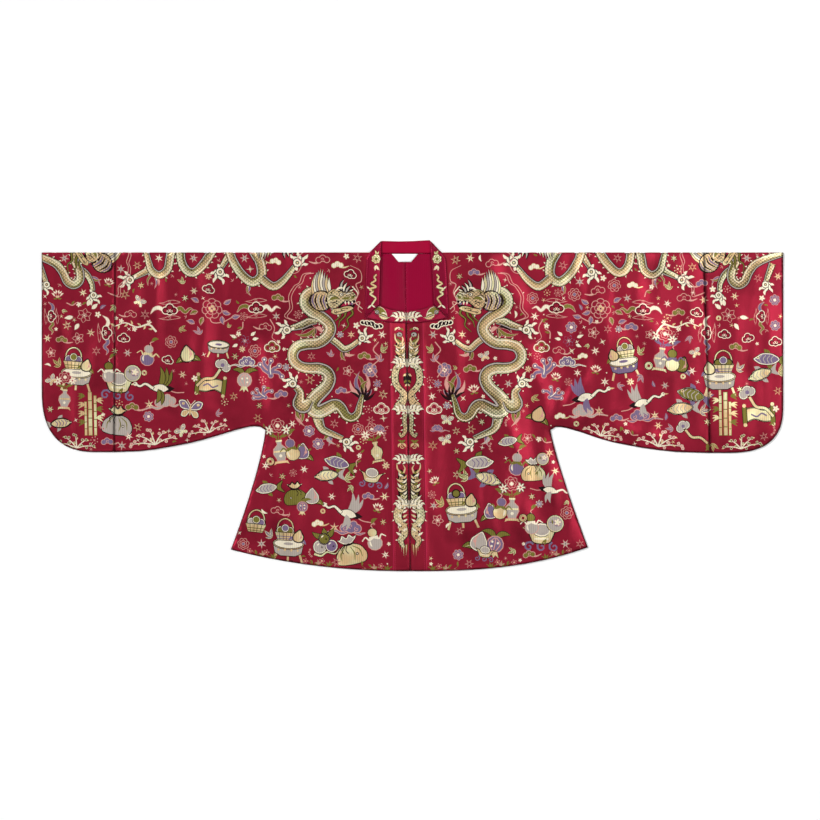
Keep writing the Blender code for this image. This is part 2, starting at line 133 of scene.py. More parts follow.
CREASES = (  # the same, finer
    (-330, -60, -262, 60, 10, 1.4), (-345, -52, -420, 90, 11, 1.5), (-334, -44, -505, 10, 10, 1.1),
    (-300, -60, -318, -190, 10, 1.2), (-352, -180, -330, -300, 12, 1.3),
    (-212, -230, -232, -345, 12, 1.1), (-70, -250, -66, -350, 12, 0.9),
    (-610, 120, -640, -40, 11, 1.3), (-560, 60, -585, -70, 12, 1.0),
    (-480, 300, -455, 190, 13, 1.1), (-380, 320, -402, 205, 13, 1.0),
    (-720, 300, -742, 190, 11, 1.2), (-762, 60, -748, -52, 10, 1.0),
    (-640, 318, -650, 230, 10, 0.9), (-205, 60, -182, -70, 13, 0.9),
    (-125, 310, -150, 210, 12, 0.8), (310, -62, 246, 30, 10, 1.5), (322, -52, 352, 50, 10, 1.6),
    (318, -48, 470, 0, 10, 1.2), (300, -66, 276, -176, 10, 1.3), (330, -170, 352, -290, 11, 1.4),
    (196, -120, 214, -250, 12, 1.2), (60, -240, 66, -350, 12, 1.0), (560, 120, 585, -40, 12, 1.3),
    (470, 60, 505, -60, 12, 1.1), (690, 318, 676, 236, 10, 1.0), (744, 130, 760, -10, 11, 1.2),
    (360, 316, 380, 200, 13, 1.1), (170, 70, 150, -60, 13, 0.9), (108, 312, 124, 214, 12, 0.8),
)
BACK_CREASES = (  # the same on the back, lower because it lies on the floor
    (-250, 60, -300, -200, 30, 0.7), (-470, 250, -520, 20, 34, 0.7),
    (-120, -60, -140, -320, 36, 0.6), (-700, 220, -720, 0, 26, 0.6), (-110, 280, -90, 60, 34, 0.5),
    (240, 80, 300, -190, 30, 0.7), (480, 240, 540, 0, 34, 0.7), (130, -40, 150, -310, 36, 0.6),
    (716, 210, 706, 10, 26, 0.6), (100, 270, 84, 50, 34, 0.5),
)
EDGE_ROLL, EDGE_DROP = 2.4, 0.95  # the rounded edge: how far in it starts and how far it drops

COLLAR_SIDE = {
    "right": (  # outer x, outer y, inner x, inner y
        (-104.9, 192.0, -71.9, 220.8), (-104.6, 233.0, -71.4, 240.0), (-103.0, 285.0, -69.8, 287.0),
        (-101.5, 323.2, -68.6, 324.0), (-93.6, 337.4, -68.2, 336.2), (-86.8, 344.5, -67.9, 343.0),
        (-69.5, 361.8, -67.4, 361.0),
    ),
    "left": (
        (79.4, 192.0, 45.8, 221.5), (78.5, 233.0, 45.3, 240.0), (76.2, 285.0, 42.8, 287.0),
        (73.5, 323.2, 40.1, 324.0), (65.0, 336.2, 39.6, 336.2), (58.8, 341.7, 39.1, 343.0),
        (39.8, 361.6, 37.6, 362.3),
    ),
}
COLLAR_CENTRE_INNER_Y, COLLAR_CENTRE_OUTER_Y = 208.3, 181.0
COLLAR_BOW, MITRE_STEP = 2.8, 0.4
COLLAR_SLOPE = (SHOULDER_Y + 1.0, SHOULDER_Y + 8.0)  # between these the collar sinks behind the fold
STAND_TOP = ((-67.4, 362.2), (-30.0, 361.2), (0.0, 361.8), (37.4, TOP_Y))
STAND_END_Y, STAND_RIGHT_X, STAND_LEFT_X = SHOULDER_Y + 0.6, -90.5, 61.2
LABEL_TOP, LABEL_BOTTOM, LABEL_DEPTH, LABEL_X = 57.5, 28.0, 17.6, -16.8


# ---------------------------------------------------------------- lines as complex numbers


def mix(a, b, share):
    return a + (b - a) * share


def spread(a, b, count):
    return mix(a, b, np.linspace(0, 1, count))


def curve(points, closed=False, per=4):
    """A smooth line through points, with so many steps to each."""
    p = np.array(points, complex)
    if closed:
        p = np.concatenate((p[-1:], p, p[:2]))
    else:
        p = np.concatenate((2 * p[:1] - p[1:2], p, 2 * p[-1:] - p[-2:-1]))
    t = np.arange(per) / per
    runs = [
        0.5 * (2 * b + (c - a) * t + (2 * a - 5 * b + 4 * c - d) * t**2 + (3 * b - a - 3 * c + d) * t**3)
        for a, b, c, d in zip(p, p[1:], p[2:], p[3:])
    ]
    return np.concatenate(runs if closed else [*runs, p[-2:-1]])


def along(line, step):
    """A line's points, evenly about step apart."""
    at = np.concatenate(([0], np.cumsum(abs(np.diff(line)))))
    count = max(2, int(round(at[-1] / step)) + 1)
    return np.interp(np.linspace(0, at[-1], count), at, line)


def split(polygon, step):
    """A closed line with no edge longer than step."""
    runs = []
    for a, b in zip(polygon, np.roll(polygon, -1)):
        count = max(1, math.ceil(abs(b - a) / step))
        runs.append(mix(a, b, np.arange(count) / count))
    return np.concatenate(runs)


def bends(line, first, last, tolerance):
    """The places between two corners where a line strays from the straight one by more than a tolerance."""
    if last - first < 2:
        return []
    chord = line[last] - line[first]
    rest = line[first + 1 : last] - line[first]
    off = abs((rest * chord.conjugate()).imag) / abs(chord) if abs(chord) > TINY else abs(rest)
    k = first + 1 + int(off.argmax())
    if off.max() <= tolerance:
        return []
    return [*bends(line, first, k, tolerance), k, *bends(line, k, last, tolerance)]


def thinned(polygon, tolerance):
    """A closed line without the corners that it hardly needs."""
    far = int(abs(polygon - polygon[0]).argmax())
    line = np.append(polygon, polygon[0])
    kept = [0, *bends(line, 0, far, tolerance), far, *bends(line, far, len(polygon), tolerance)]
    return line[kept] if len(kept) > 2 else polygon


def heading(line):
    turn = np.gradient(line)
    return turn / np.maximum(abs(turn), TINY)


def stroke(line, *widths):
    """The closed outline of a line drawn with these widths from its start to its end."""
    line = np.asarray(line)
    ends = widths * 2 if len(widths) == 1 else widths
    half = np.interp(np.linspace(0, 1, len(line)), np.linspace(0, 1, len(ends)), ends)
    side = 1j * heading(line) * half / 2
    return np.concatenate((line + side, (line - side)[::-1]))


def disc(at, radius, squash=1.0, turn=0.0, sides=11):
    spin = np.exp(2j * np.pi * np.arange(sides) / sides)
    return at + radius * (spin.real + 1j * squash * spin.imag) * cmath.exp(1j * math.radians(turn))


def leaf(base, tip, width, bend=0.0):
    """A pointed leaf or petal, bent to one side by a share of its length."""
    size = abs(tip - base)
    t = np.linspace(0, 1, 4 if size < 7 or width < 1.8 else 5 if size < 12 else 7)
    line = mix(base, tip, t) + 1j * (tip - base) * bend * np.sin(np.pi * t)
    half = 1j * heading(line) * width / 2 * np.sin(np.pi * t**0.8)
    return np.concatenate((line + half, (line - half)[-2:0:-1]))


def inset(polygon, width):
    """A closed line moved inwards."""
    ahead = np.roll(polygon, -1) - np.roll(polygon, 1)
    area = (polygon.conjugate() * np.roll(polygon, -1)).imag.sum()
    return polygon + 1j * np.sign(area) * width * ahead / np.maximum(abs(ahead), TINY)


def rimmed(polygon, fill, rim, width=1.3):
    return [(rim, polygon), (fill, inset(polygon, width))]


def area_of(outline):
    return abs((outline.conj() * np.roll(outline, -1)).imag.sum()) / 2


def haloed(drawing, least, width=1.5):
    """A drawing with a dark line just below each of its larger gold, cream and olive shapes."""
    laid = []
    for thread, line in drawing:
        if thread in ("gold", "cream", "olive") and area_of(line) > least:
            laid.append(("dark", inset(line, -width)))
        laid.append((thread, line))
    return laid


def put(drawing, at=0, turn=0.0, size=1.0, mirror=False):
    spin = size * cmath.exp(1j * math.radians(turn))
    return [(thread, at + spin * (-line.conjugate() if mirror else line)) for thread, line in drawing]


def placed(*things):
    """Several figures together, the first lowest: each as (drawing, place, turn, size)."""
    return [part for thing in things for part in put(*thing)]


def around(drawing, count, start=0.0):
    return [part for k in range(count) for part in put(drawing, turn=start + 360 * k / count)]


def recolour(drawing, **change):
    return [(change.get(thread, thread), line) for thread, line in drawing]


def winding(points, polygon):
    """How often a closed line goes round each point."""
    turns = np.zeros(len(points), int)
    for start in range(0, len(points), CHUNK):
        p = points[start : start + CHUNK, None]
        a, b = polygon, np.roll(polygon, -1)
        left = ((b - a).conjugate() * (p - a)).imag
        up = (a.imag <= p.imag) & (b.imag > p.imag) & (left > 0)
        down = (b.imag <= p.imag) & (a.imag > p.imag) & (left < 0)
        turns[start : start + CHUNK] = up.sum(1) - down.sum(1)
    return turns


def off_line(points, starts, ends, reach):
    """Distance from points to the nearest of some straight pieces, up to reach."""
    away = np.full(len(points), float(reach))
    low, high = np.minimum(starts.imag, ends.imag) - reach, np.maximum(starts.imag, ends.imag) + reach
    for some in np.array_split(np.argsort(points.imag), len(points) // BAND + 1):
        if len(some) == 0:
            continue
        p = points[some]
        near = (low < p.imag.max()) & (high > p.imag.min())
        if near.any():
            a, run = starts[near], (ends - starts)[near]
            share = ((p[:, None] - a) * run.conjugate()).real / np.maximum(abs(run) ** 2, TINY)
            gap = p[:, None] - a - np.clip(share, 0, 1) * run
            away[some] = np.minimum(reach, abs(gap).min(1))
    return away


# ---------------------------------------------------------------- outlines of the pieces, before folding


def centre_x(y):
    """The line of the front opening and of the centre back seam."""
    return mix(CENTRE_X_AT_SHOULDER, CENTRE_X_AT_HEM, (SHOULDER_Y - y) / LENGTH)


def seam_x(side, y):
    """The seam between the body and the further sleeve piece."""
    lean = (SHOULDER_Y - y) / (SHOULDER_Y - side["sleeve_bottom_y"])
    return side["sign"] * mix(side["seam_x_at_fold"], side["seam_x_at_bottom"], lean)


def underarm(side, x):
    out, y = zip(*side["underarm"])
    return x + 1j * np.interp(abs(x) - side["armpit_x"], out, y)


def sleeve_corner(side):
    """The lower edge of the further sleeve piece, from its rounded corner's start to the cuff."""
    turn = np.linspace(math.pi / 2, 0, 36)
    out = np.cos(turn) ** (2 / CORNER_POWER)
    rise = 1 - (1 - out**CORNER_POWER) ** (1 / CORNER_POWER)
    x = SPAN / 2 - CORNER_X + CORNER_X * out
    return side["sign"] * x + 1j * (side["sleeve_bottom_y"] + side["corner_y"] * rise)


def side_seam(side, share):
    x = mix(side["armpit_x"], side["hem_corner_x"], share ** side["side_seam_power"])
    return side["sign"] * x + 1j * mix(ARMPIT_Y, side["hem_corner_y"], share)


def hem(side, share, gap):
    x = mix(CENTRE_X_AT_HEM + gap, side["sign"] * side["hem_corner_x"], share)
    return x + 1j * mix(HEM_Y, side["hem_corner_y"], share ** side["hem_power"])


def neck_cut_x(side, y):
    down = np.clip((FOLD_Y - y) / (FOLD_Y - NECK_CUT_FRONT_Y), 0, 1)
    return mix(side["neck_x_at_fold"], side["neck_x_at_bottom"], down)


def to_back(line):
    return line.real + 1j * (BACK_V - line.imag)


def body_edge(side, gap):
    """The edge of one layer of a body half, from the foot of its centre line out to the sleeve seam."""
    shares = np.linspace(0, 1, 30)
    bottom_y = side["sleeve_bottom_y"]
    seam_gap = side["sign"] * GAP / 2
    bottom_x = seam_x(side, bottom_y) - seam_gap
    under = underarm(side, mix(side["sign"] * side["armpit_x"], bottom_x, shares[1:]))
    seam_y = np.array([mix(bottom_y, FOLD_Y, 0.5), FOLD_Y])
    seam = seam_x(side, seam_y) - seam_gap + 1j * seam_y
    return np.concatenate((hem(side, shares, gap), side_seam(side, shares[-2::-1]), under, seam))


def body_outline(side):
    sign = side["sign"]
    front = body_edge(side, sign * OPENING_GAP / 2)
    back = to_back(body_edge(side, sign * GAP / 2))[::-1]
    back_y, front_y = NECK_CUT_BACK_Y, NECK_CUT_FRONT_Y
    neck = [
        centre_x(back_y) + sign * GAP / 2 + 1j * (BACK_V - back_y),
        neck_cut_x(side, back_y) + 1j * (BACK_V - back_y),
        neck_cut_x(side, FOLD_Y) + 1j * (BACK_V - FOLD_Y),
        neck_cut_x(side, FOLD_Y) + 1j * FOLD_Y,
        neck_cut_x(side, front_y) + 1j * front_y,
        centre_x(front_y) + sign * OPENING_GAP / 2 + 1j * front_y,
    ]
    return np.concatenate((front, back, neck))


def sleeve_outline(side):
    corner = sleeve_corner(side)
    seam_y = np.array([FOLD_Y, side["sleeve_bottom_y"]])
    seam = seam_x(side, seam_y) + side["sign"] * GAP / 2 + 1j * seam_y
    cuff = side["sign"] * SPAN / 2 + 1j * np.array([FOLD_Y, BACK_V - FOLD_Y])
    return np.concatenate((seam, corner, cuff, to_back(corner)[::-1], to_back(seam)[::-1]))


def edge_pieces():
    """The jacket's edge, other than the shoulder fold, as starts and ends of straight pieces."""
    starts, ends = [], []
    for side in SIDES.values():
        line = np.concatenate((body_edge(side, 0)[:-2], sleeve_corner(side)))
        line = np.append(line, side["sign"] * SPAN / 2 + 1j * SHOULDER_Y)
        starts.append(line[:-1])
        ends.append(line[1:])
    return np.concatenate(starts), np.concatenate(ends)


EDGE = edge_pieces()


# ---------------------------------------------------------------- how the cloth lies


def ridges(at, table):
    """Height of soft folds, each strongest half way along its line."""
    x0, y0, x1, y1, width, height = np.array(table).T
    starts, runs = x0 + 1j * y0, x1 - x0 + 1j * (y1 - y0)
    total = np.zeros(len(at))
    for first in range(0, len(at), CHUNK):
        p = at[first : first + CHUNK, None]
        share = np.clip(((p - starts) * runs.conjugate()).real / abs(runs) ** 2, 0, 1)
        away = abs(p - starts - share * runs)
        swell = mix(FOLD_END_HEIGHT, 1.0, np.sin(math.pi * share))
        total[first : first + CHUNK] = (height * swell * np.exp(-((away / width) ** 2))).sum(1)
    return total


def front_top(at):
    """Height of the front's outer face above the surface that the jacket lies on."""
    from_fold = np.maximum(FOLD_Y - at.imag, 0)
    from_edge = np.minimum(off_line(at, *EDGE, reach=5 * EASE), from_fold)
    at_opening = (1 - LOFT_AT_OPENING) * np.exp(-abs(at.real - centre_x(at.imag)) / EASE)
    puff = 1 - np.exp(-from_edge / EASE)
    at_fold = (FOLD_GAP - GAP) * np.exp(-from_fold / EASE)
    loft = LOFT * (1 - at_opening) + ridges(at, FOLDS) + ridges(at, CREASES)
    welt = (abs(at.real - centre_x(at.imag)) - PLACKET) / WELT_WIDTH
    loft += WELT_HEIGHT * np.exp(-(welt**2)) * (at.imag < COLLAR_CENTRE_OUTER_Y + 12)
    return 2 * CLOTH + GAP + at_fold + puff * loft


def back_under(at):
    """Height of the back's outer face, which the jacket lies on."""
    return ridges(at, BACK_CREASES) * (1 - np.exp(-off_line(at, *EDGE, reach=5 * EASE) / EASE))


def folded_place(at, depth):
    """Where points of a piece lie once it is folded at the shoulder, so deep in its wall."""
    x, v = at.real, at.imag
    turn = np.clip((v - FOLD_Y) / FOLD_R, 0, math.pi)
    radius = FOLD_R - depth
    y = FOLD_Y + radius * np.sin(turn)
    z = FOLD_R + radius * np.cos(turn)
    front, back = v <= FOLD_Y, v >= BACK_V - FOLD_Y
    y[front] = v[front]
    z[front] = front_top(at[front]) - depth
    y[back] = BACK_V - v[back]
    z[back] = back_under(x[back] + 1j * y[back]) + depth
    return np.stack((x, y, z), 1)


def collar_base(at):
    """Height of the underside of a collar strip: on the front, then sloping down past the fold."""
    on_front = front_top(at.real + 1j * np.minimum(at.imag, FOLD_Y))
    share = np.clip((at.imag - COLLAR_SLOPE[0]) / (COLLAR_SLOPE[1] - COLLAR_SLOPE[0]), 0, 1)
    return mix(on_front, COLLAR_CLOTH, share) + GAP


def collar_place(at, depth):
    return np.stack((at.real, at.imag, collar_base(at) + COLLAR_CLOTH - depth), 1)


def flat_place(top):
    return lambda at, depth: np.stack((at.real, at.imag, np.full(len(at), top - depth)), 1)


# ---------------------------------------------------------------- outlines of the collar, lining and label


def collar_side_outline(name):
    table = np.array(COLLAR_SIDE[name])
    table[0, [1, 3]] += MITRE_STEP
    outer, inner = table[:, 0] + 1j * table[:, 1], table[:, 2] + 1j * table[:, 3]
    return np.concatenate((outer, inner[::-1]))


def collar_front_outline(name, side):
    outer_x, outer_y, inner_x, inner_y = COLLAR_SIDE[name][0]
    share = np.linspace(0, 1, 13)
    bow = -1j * COLLAR_BOW * np.sin(np.pi * share)
    gap = side["sign"] * OPENING_GAP / 2
    inner_end = centre_x(COLLAR_CENTRE_INNER_Y) + gap + 1j * COLLAR_CENTRE_INNER_Y
    outer_end = centre_x(COLLAR_CENTRE_OUTER_Y) + gap + 1j * COLLAR_CENTRE_OUTER_Y
    inner = mix(inner_x + 1j * inner_y, inner_end, share) + bow
    outer = mix(outer_x + 1j * outer_y, outer_end, share) + bow
    return np.concatenate((outer, inner[::-1]))


def collar_back_outline():
    low_y = NECK_CUT_BACK_Y + GAP
    right_x = SIDES["right"]["neck_x_at_fold"] + GAP
    left_x = SIDES["left"]["neck_x_at_fold"] - GAP
    corners = [(right_x, low_y), (left_x, low_y), (left_x, STAND_END_Y), (STAND_LEFT_X, STAND_END_Y)]
    corners += [*STAND_TOP[::-1], (STAND_RIGHT_X, STAND_END_Y), (right_x, STAND_END_Y)]
    return np.array([complex(*corner) for corner in corners])


def lining_outline(side):
    inside = side["sign"] * (CLOTH + GAP)
    y = np.array([NECK_CUT_FRONT_Y + CLOTH + GAP, NECK_CUT_BACK_Y])
    centre = centre_x(y) + side["sign"] * GAP / 8 + 1j * y
    outer = neck_cut_x(side, y) - inside + 1j * y
    return np.array([centre[0], outer[0], outer[1], centre[1]])


def label_outline():
    top, bottom = NECK_CUT_BACK_Y, NECK_CUT_BACK_Y - LABEL_DEPTH
    half_top, half_bottom = LABEL_TOP / 2, LABEL_BOTTOM / 2
    corners = [(-half_top, top), (-half_bottom, bottom), (half_bottom, bottom), (half_top, top)]
    return LABEL_X + np.array([complex(*corner) for corner in corners])


# ---------------------------------------------------------------- pieces of cloth

EDGE_STEP = 5.0  # longest edge along a piece's own edge
FIGURE_STEP = 10.0  # and along a figure's
EDGE_REACH = 8.0  # how far in from a piece's edge its "edge" attribute tells the distance
FRONT_SPACING, BACK_SPACING = 6.5, 13.0  # between the loose points of a piece's front and back
COLLAR_SPACING, LINING_SPACING, LABEL_SPACING = 4.0, 5.0, 3.0
FRONT_THINNING, BACK_THINNING = 0.42, 1.0  # how far a figure's outline may stray once it is thinned


def hex_points(outline, spacing):
    """Evenly spread points inside a closed line and clear of it."""
    xs = np.arange(outline.real.min(), outline.real.max(), spacing)
    ys = np.arange(outline.imag.min(), outline.imag.max(), spacing * math.sqrt(3) / 2)
    grid = xs[None, :] + 1j * ys[:, None]
    grid[1::2] += spacing / 2
    grid = grid.ravel()
    grid = grid[winding(grid, outline) != 0]
    clear = spacing / 2
    return grid[off_line(grid, outline, np.roll(outline, -1), clear) >= clear]


def loose_points(outline, spacing, back_spacing):
    """Points inside a piece; a folded piece has rows of them round its fold."""
    front = hex_points(outline, spacing)
    if back_spacing is None:
        return front
    back = hex_points(outline, back_spacing)
    fold_top = BACK_V - FOLD_Y
    xs = np.arange(outline.real.min(), outline.real.max(), spacing)
    rows = (xs[None, :] + 1j * np.linspace(FOLD_Y, fold_top, FOLD_ROWS)[:, None]).ravel()
    rows = rows[winding(rows, outline) != 0]
    return np.concatenate((front[front.imag < FOLD_Y - 2], rows, back[back.imag > fold_top + 2]))


def planar_map(lines, loose, outline):
    """Triangles inside an outline whose edges follow all the closed lines. Also tells which of the given
    points each corner is."""
    flat = [Vector((p.real, p.imag)) for p in np.concatenate((*lines, loose))]
    edges, first = [], 0
    for line in lines:
        edges += [(first + k, first + (k + 1) % len(line)) for k in range(len(line))]
        first += len(line)
    made, _, faces, origin, _, _ = delaunay_2d_cdt(flat, edges, [], 0, CLOSEST)
    at = np.array([complex(*p) for p in made])
    faces = np.array(faces)
    faces = faces[winding(at[faces].mean(1), outline) != 0]
    a, b, c = at[faces].T
    return at, faces[((b - a).conjugate() * (c - a)).imag > THINNEST], origin


def boundary_loop(faces):
    """The corners round the faces' outer edge, in order."""
    edges = {tuple(edge) for edge in faces[:, [0, 1, 1, 2, 2, 0]].reshape(-1, 2).tolist()}
    ahead = {a: b for a, b in edges if (b, a) not in edges}
    loop = [min(ahead)]
    while ahead[loop[-1]] != loop[0]:
        loop.append(ahead[loop[-1]])
    return np.array(loop)


def top_threads(at, faces, drawing, threads):
    """Which thread each face shows: that of the last shape drawn over it."""
    middle = at[faces].mean(1)
    order = np.argsort(middle.imag)
    rank = middle.imag[order]
    shown = np.zeros(len(faces), int)
    for thread, line in drawing:
        low, high = np.searchsorted(rank, (line.imag.min(), line.imag.max()))
        some = order[low:high]
        x = middle.real[some]
        some = some[(x > line.real.min()) & (x < line.real.max())]
        if len(some):
            shown[some[winding(middle[some], line) != 0]] = threads.index(thread)
    return shown


def cloth_piece(name, outline, drawing, place, wall, materials, spacing, back_spacing=None):
    """One closed wall of cloth: an outer face with its figures, a plain inner face and the rim between."""
    outline = split(outline, EDGE_STEP)
    lines = [outline] + [
        split(thinned(line, FRONT_THINNING if line.imag.min() < FOLD_Y else BACK_THINNING), FIGURE_STEP)
        for _, line in drawing
    ]
    at, faces, _ = planar_map(lines, loose_points(outline, spacing, back_spacing), outline)
    used, faces = np.unique(faces, return_inverse=True)
    at, faces = at[used], faces.reshape(-1, 3)
    shown = top_threads(at, faces, drawing, list(materials))
    loop = boundary_loop(faces)

    inside = loose_points(outline, BACK_SPACING, back_spacing)
    inner_at, inner_faces, origin = planar_map([at[loop]], inside, at[loop])
    twin = {source: k for k, sources in enumerate(origin) for source in sources}
    first = len(at)
    ring = np.array([twin[k] for k in range(len(loop))]) + first
    rim = np.stack((np.roll(loop, -1), loop, ring, np.roll(ring, -1)), 1)

    edge = off_line(at, outline, np.roll(outline, -1), EDGE_REACH)
    outer = place(at, 0.0)
    drop = min(EDGE_DROP, wall / 2) * (1 - np.sin(np.clip(edge / EDGE_ROLL, 0, 1) * math.pi / 2))
    up = at.imag <= (FOLD_Y if back_spacing else TOP_Y + 1)
    outer[up, 2] -= drop[up]

    mesh = bpy.data.meshes.new(name)
    corners = np.concatenate((outer, place(inner_at, wall))) * MM
    all_faces = faces.tolist() + (inner_faces[:, ::-1] + first).tolist() + rim.tolist()
    mesh.from_pydata(corners.tolist(), [], all_faces)
    for material in materials.values():
        mesh.materials.append(material)
    index = np.zeros(len(all_faces), int)
    index[: len(faces)] = shown
    mesh.polygons.foreach_set("material_index", index)
    # the front opening's edges get less of the painted edge shade
    at_opening = abs(at.real - centre_x(at.imag)) < EDGE_SHADE
    shaded = np.where(at_opening, np.maximum(edge, OPENING_SHADE * EDGE_SHADE), edge)
    near = mesh.attributes.new("edge", "FLOAT", "POINT")
    near.data.foreach_set("value", np.concatenate((shaded, np.zeros(len(inner_at)))))
    mesh.shade_smooth()
    made = bpy.data.objects.new(name, mesh)
    bpy.context.scene.collection.objects.link(made)
    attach(made, "root")
    return made


# ---------------------------------------------------------------- woven figures, each about its own origin


def blob(parts, fill, rim, width=1.5):
    """Closed lines run together into one shape with a rim round them all."""
    return [(rim, inset(line, -width)) for line in parts] + [(fill, line) for line in parts]


def spiral(at, radius, start, turns, width, hand=1):
    t = np.linspace(0, 1, int(7 * turns) + 3)
    turn = math.radians(start) + hand * 2 * np.pi * turns * t
    return stroke(at + radius * (1 - 0.85 * t) * np.exp(1j * turn), width, width * 0.6)


def curls(thread, *shapes):
    return [(thread, spiral(*shape)) for shape in shapes]


def leaves(thread, *shapes):
    return [(thread, leaf(*shape)) for shape in shapes]


def dots(thread, radius, sides, *places):
    return [(thread, disc(at, radius, sides=sides)) for at in places]


def straight(thread, widths, *paths):
    return [(thread, stroke(np.array(path), *np.atleast_1d(widths))) for path in paths]


def bent(thread, widths, *paths):
    """Smooth lines of one thread, each drawn with these widths from its start to its end."""
    return [(thread, stroke(curve(path), *np.atleast_1d(widths))) for path in paths]


def cloud(fill, rim):
    """A mushroom-headed cloud with scrolls and a drifting tail."""
    drift = curve([4-6j, 16-11j, 0.6 * 46 - 7j, 46-11j])
    curl = curve([-6-5j, -16-11j, -27-8j])
    lobes = [disc(-12-1j, 7), disc(-5+6j, 6), disc(5+6j, 6), disc(12-1j, 7), disc(-2j, 9, 0.8)]
    shape = [(rim, stroke(drift, 8, 5, 2)), (rim, stroke(curl, 8, 2))]
    shape += [(fill, stroke(drift, 5, 2.4, 0.3)), (fill, stroke(curl, 5, 0.3))]
    shape += blob(lobes, fill, rim)
    shape += curls(rim, (-11-2j, 4.5, 60, 1.1, 1.5, -1), (11-2j, 4.5, 120, 1.1, 1.5))
    return shape + curls(rim, (3j, 4.5, -90, 1.0, 1.5))


def small_cloud(fill, rim):
    lobes = [disc(-7, 4.5, sides=10), disc(3j, 5, sides=10), disc(7, 4.5, sides=10)]
    tail = curve([5-2j, 14-5j, 24-2j])
    return [(rim, stroke(tail, 5, 1.2))] + blob(lobes, fill, rim, 1.2) + curls(rim, (1j, 3, 0, 1, 1.1))


def petals(count, length, width, fill, rim, start=0.0, line=1.2):
    one = rimmed(leaf(0.15 * length * 1j, length * 1j, width), fill, rim, line)
    return around(one, count, start)


def peony(fill="ground", rim="pink", heart="gold"):
    """A full flower: three rings of rounded petals round a heart."""
    outer = around(rimmed(disc(14j, 8, 0.82, 0, 12), fill, rim, 1.4), 7)
    middle = around(rimmed(disc(8j, 5.6, 0.8, 0, 10), fill, rim, 1.3), 6, 25)
    inner = around(rimmed(disc(4.4j, 3.6, 0.9, 0, 8), heart, rim, 0.9), 4, 10)
    return outer + middle + inner + dots("dark", 1.3, 6, 0)


def lotus():
    """A lotus from the side: pointed petals over a cup."""
    back = [
        part
        for k in (-62, -38, -14, 14, 38, 62)
        for part in put(rimmed(leaf(0, 21j, 9), "cream", "pink", 1.2), turn=k)
    ]
    front = [part for k in (-48, 48, 0) for part in put(rimmed(leaf(-2j, 15j, 9), "ground", "pink", 1.2), turn=k)]
    cup = rimmed(disc(-1j, 6, 0.6), "gold", "pink", 1.1)
    base = leaves("olive", (-3j, -13-6j, 5, 0.2), (-3j, 13-6j, 5, -0.2))
    return base + back + front + cup


def daisy(fill="gold", rim="pink"):
    drawn = [(rim, rosette(7, 9.0, 0.5)), (fill, rosette(7, 7.74, 0.42))]
    return drawn + dots(rim, 2.25, 7, 0) + dots("ground", 1.17, 5, 0)


def plum(fill="cream", rim="pink"):
    return [(rim, rosette(5, 7.2, 0.55)), (fill, rosette(5, 6.2, 0.5))] + dots("gold", 1.9, 6, 0)


def rose(fill="ground", rim="pink", heart="gold"):
    """A small full flower."""
    drawn = []
    for lobes, reach, start, thread in ((7, 22, 0, fill), (6, 14.5, 20, fill), (4, 7.5, 40, heart)):
        drawn += [(rim, rosette(lobes, reach, 0.82, start)), (thread, rosette(lobes, reach - 2.0, 0.8, start))]
    return drawn


def star(count, reach, notch, start=0.0):
    turn = math.radians(start + 90) + np.pi * np.arange(2 * count) / count
    return np.where(np.arange(2 * count) % 2, notch, reach) * np.exp(1j * turn)


def sparkle(thread="cream", count=4, length=7.5, width=1.9, start=0.0):
    return [(thread, star(count, length, width * 0.55, start))]


def rosette(lobes, reach, notch=0.72, start=0.0):
    """A closed line of rounded lobes."""
    turn = 2 * np.pi * np.arange(3 * lobes) / (3 * lobes)
    swell = np.tile((notch, 1.0, 1.0), lobes)
    return reach * swell * np.exp(1j * (turn + math.radians(start)))


def leaf_spray(thread="olive", rib="gold", count=3, length=19.0, width=7.0):
    """Ribbed leaves from one point."""
    drawn = []
    for k in range(count):
        turn = (k - (count - 1) / 2) * 48
        size = 1.0 - 0.22 * abs(k - (count - 1) / 2)
        one = leaves(rib, (0, length * 1j, width, 0.12)) + leaves(thread, (1.5j, length * 0.93j, width * 0.68, 0.12))
        drawn += put(one + leaves(rib, (2j, length * 0.8j, 1.1, 0.12)), turn=turn, size=size)
    return drawn


def twig(points, width, thread, leaf_thread, blossom="cream", every=13.0):
    """A bent branch with leaves and a few blossoms to either side."""
    line = curve(points)
    drawn = [(thread, stroke(line, width * 1.4, width * 0.6))]
    stops = along(line, every)
    for k, (at, way) in enumerate(zip(stops[1:], heading(stops)[1:])):
        side = 1 if k % 2 else -1
        out = way * cmath.exp(1j * side * 0.95)
        if k % 3 == 1:
            drawn += put(plum(blossom), at + out * 6, size=0.85)
        else:
            drawn.append((leaf_thread, leaf(at, at + out * 11, 4.4, 0.12 * side)))
    return drawn


def beads(points, thread):
    drawn = []
    for at in along(curve(points), 6.6):
        drawn += dots(thread, 2.4, 7, at) + dots("ground", 1.2, 5, at)
    return drawn


def coral():
    """A branching rock with round ends."""
    arms = [
        stroke(curve(p), 5.5, 4)
        for p in (
            [0, -2+12j, -12+20j], [1j, 6+14j, 4+26j], [2j, 14+8j, 22+16j], [6+12j, 16+20j, 17+27j],
            [-3+8j, -14+8j, -20+2j],
        )
    ]
    ends = [disc(p, 4.4, sides=9) for p in (-13+21j, 4+28j, 23+17j, 17+28j, -21+2j, 0)]
    cores = dots("cream", 1.9, 7, -13+21j, 4+28j, 23+17j, 17+28j, -21+2j)
    return blob(arms + ends, "lavender", "pink", 1.3) + cores + bent("cream", 1.6, [2j, 3+10j, 4+20j])


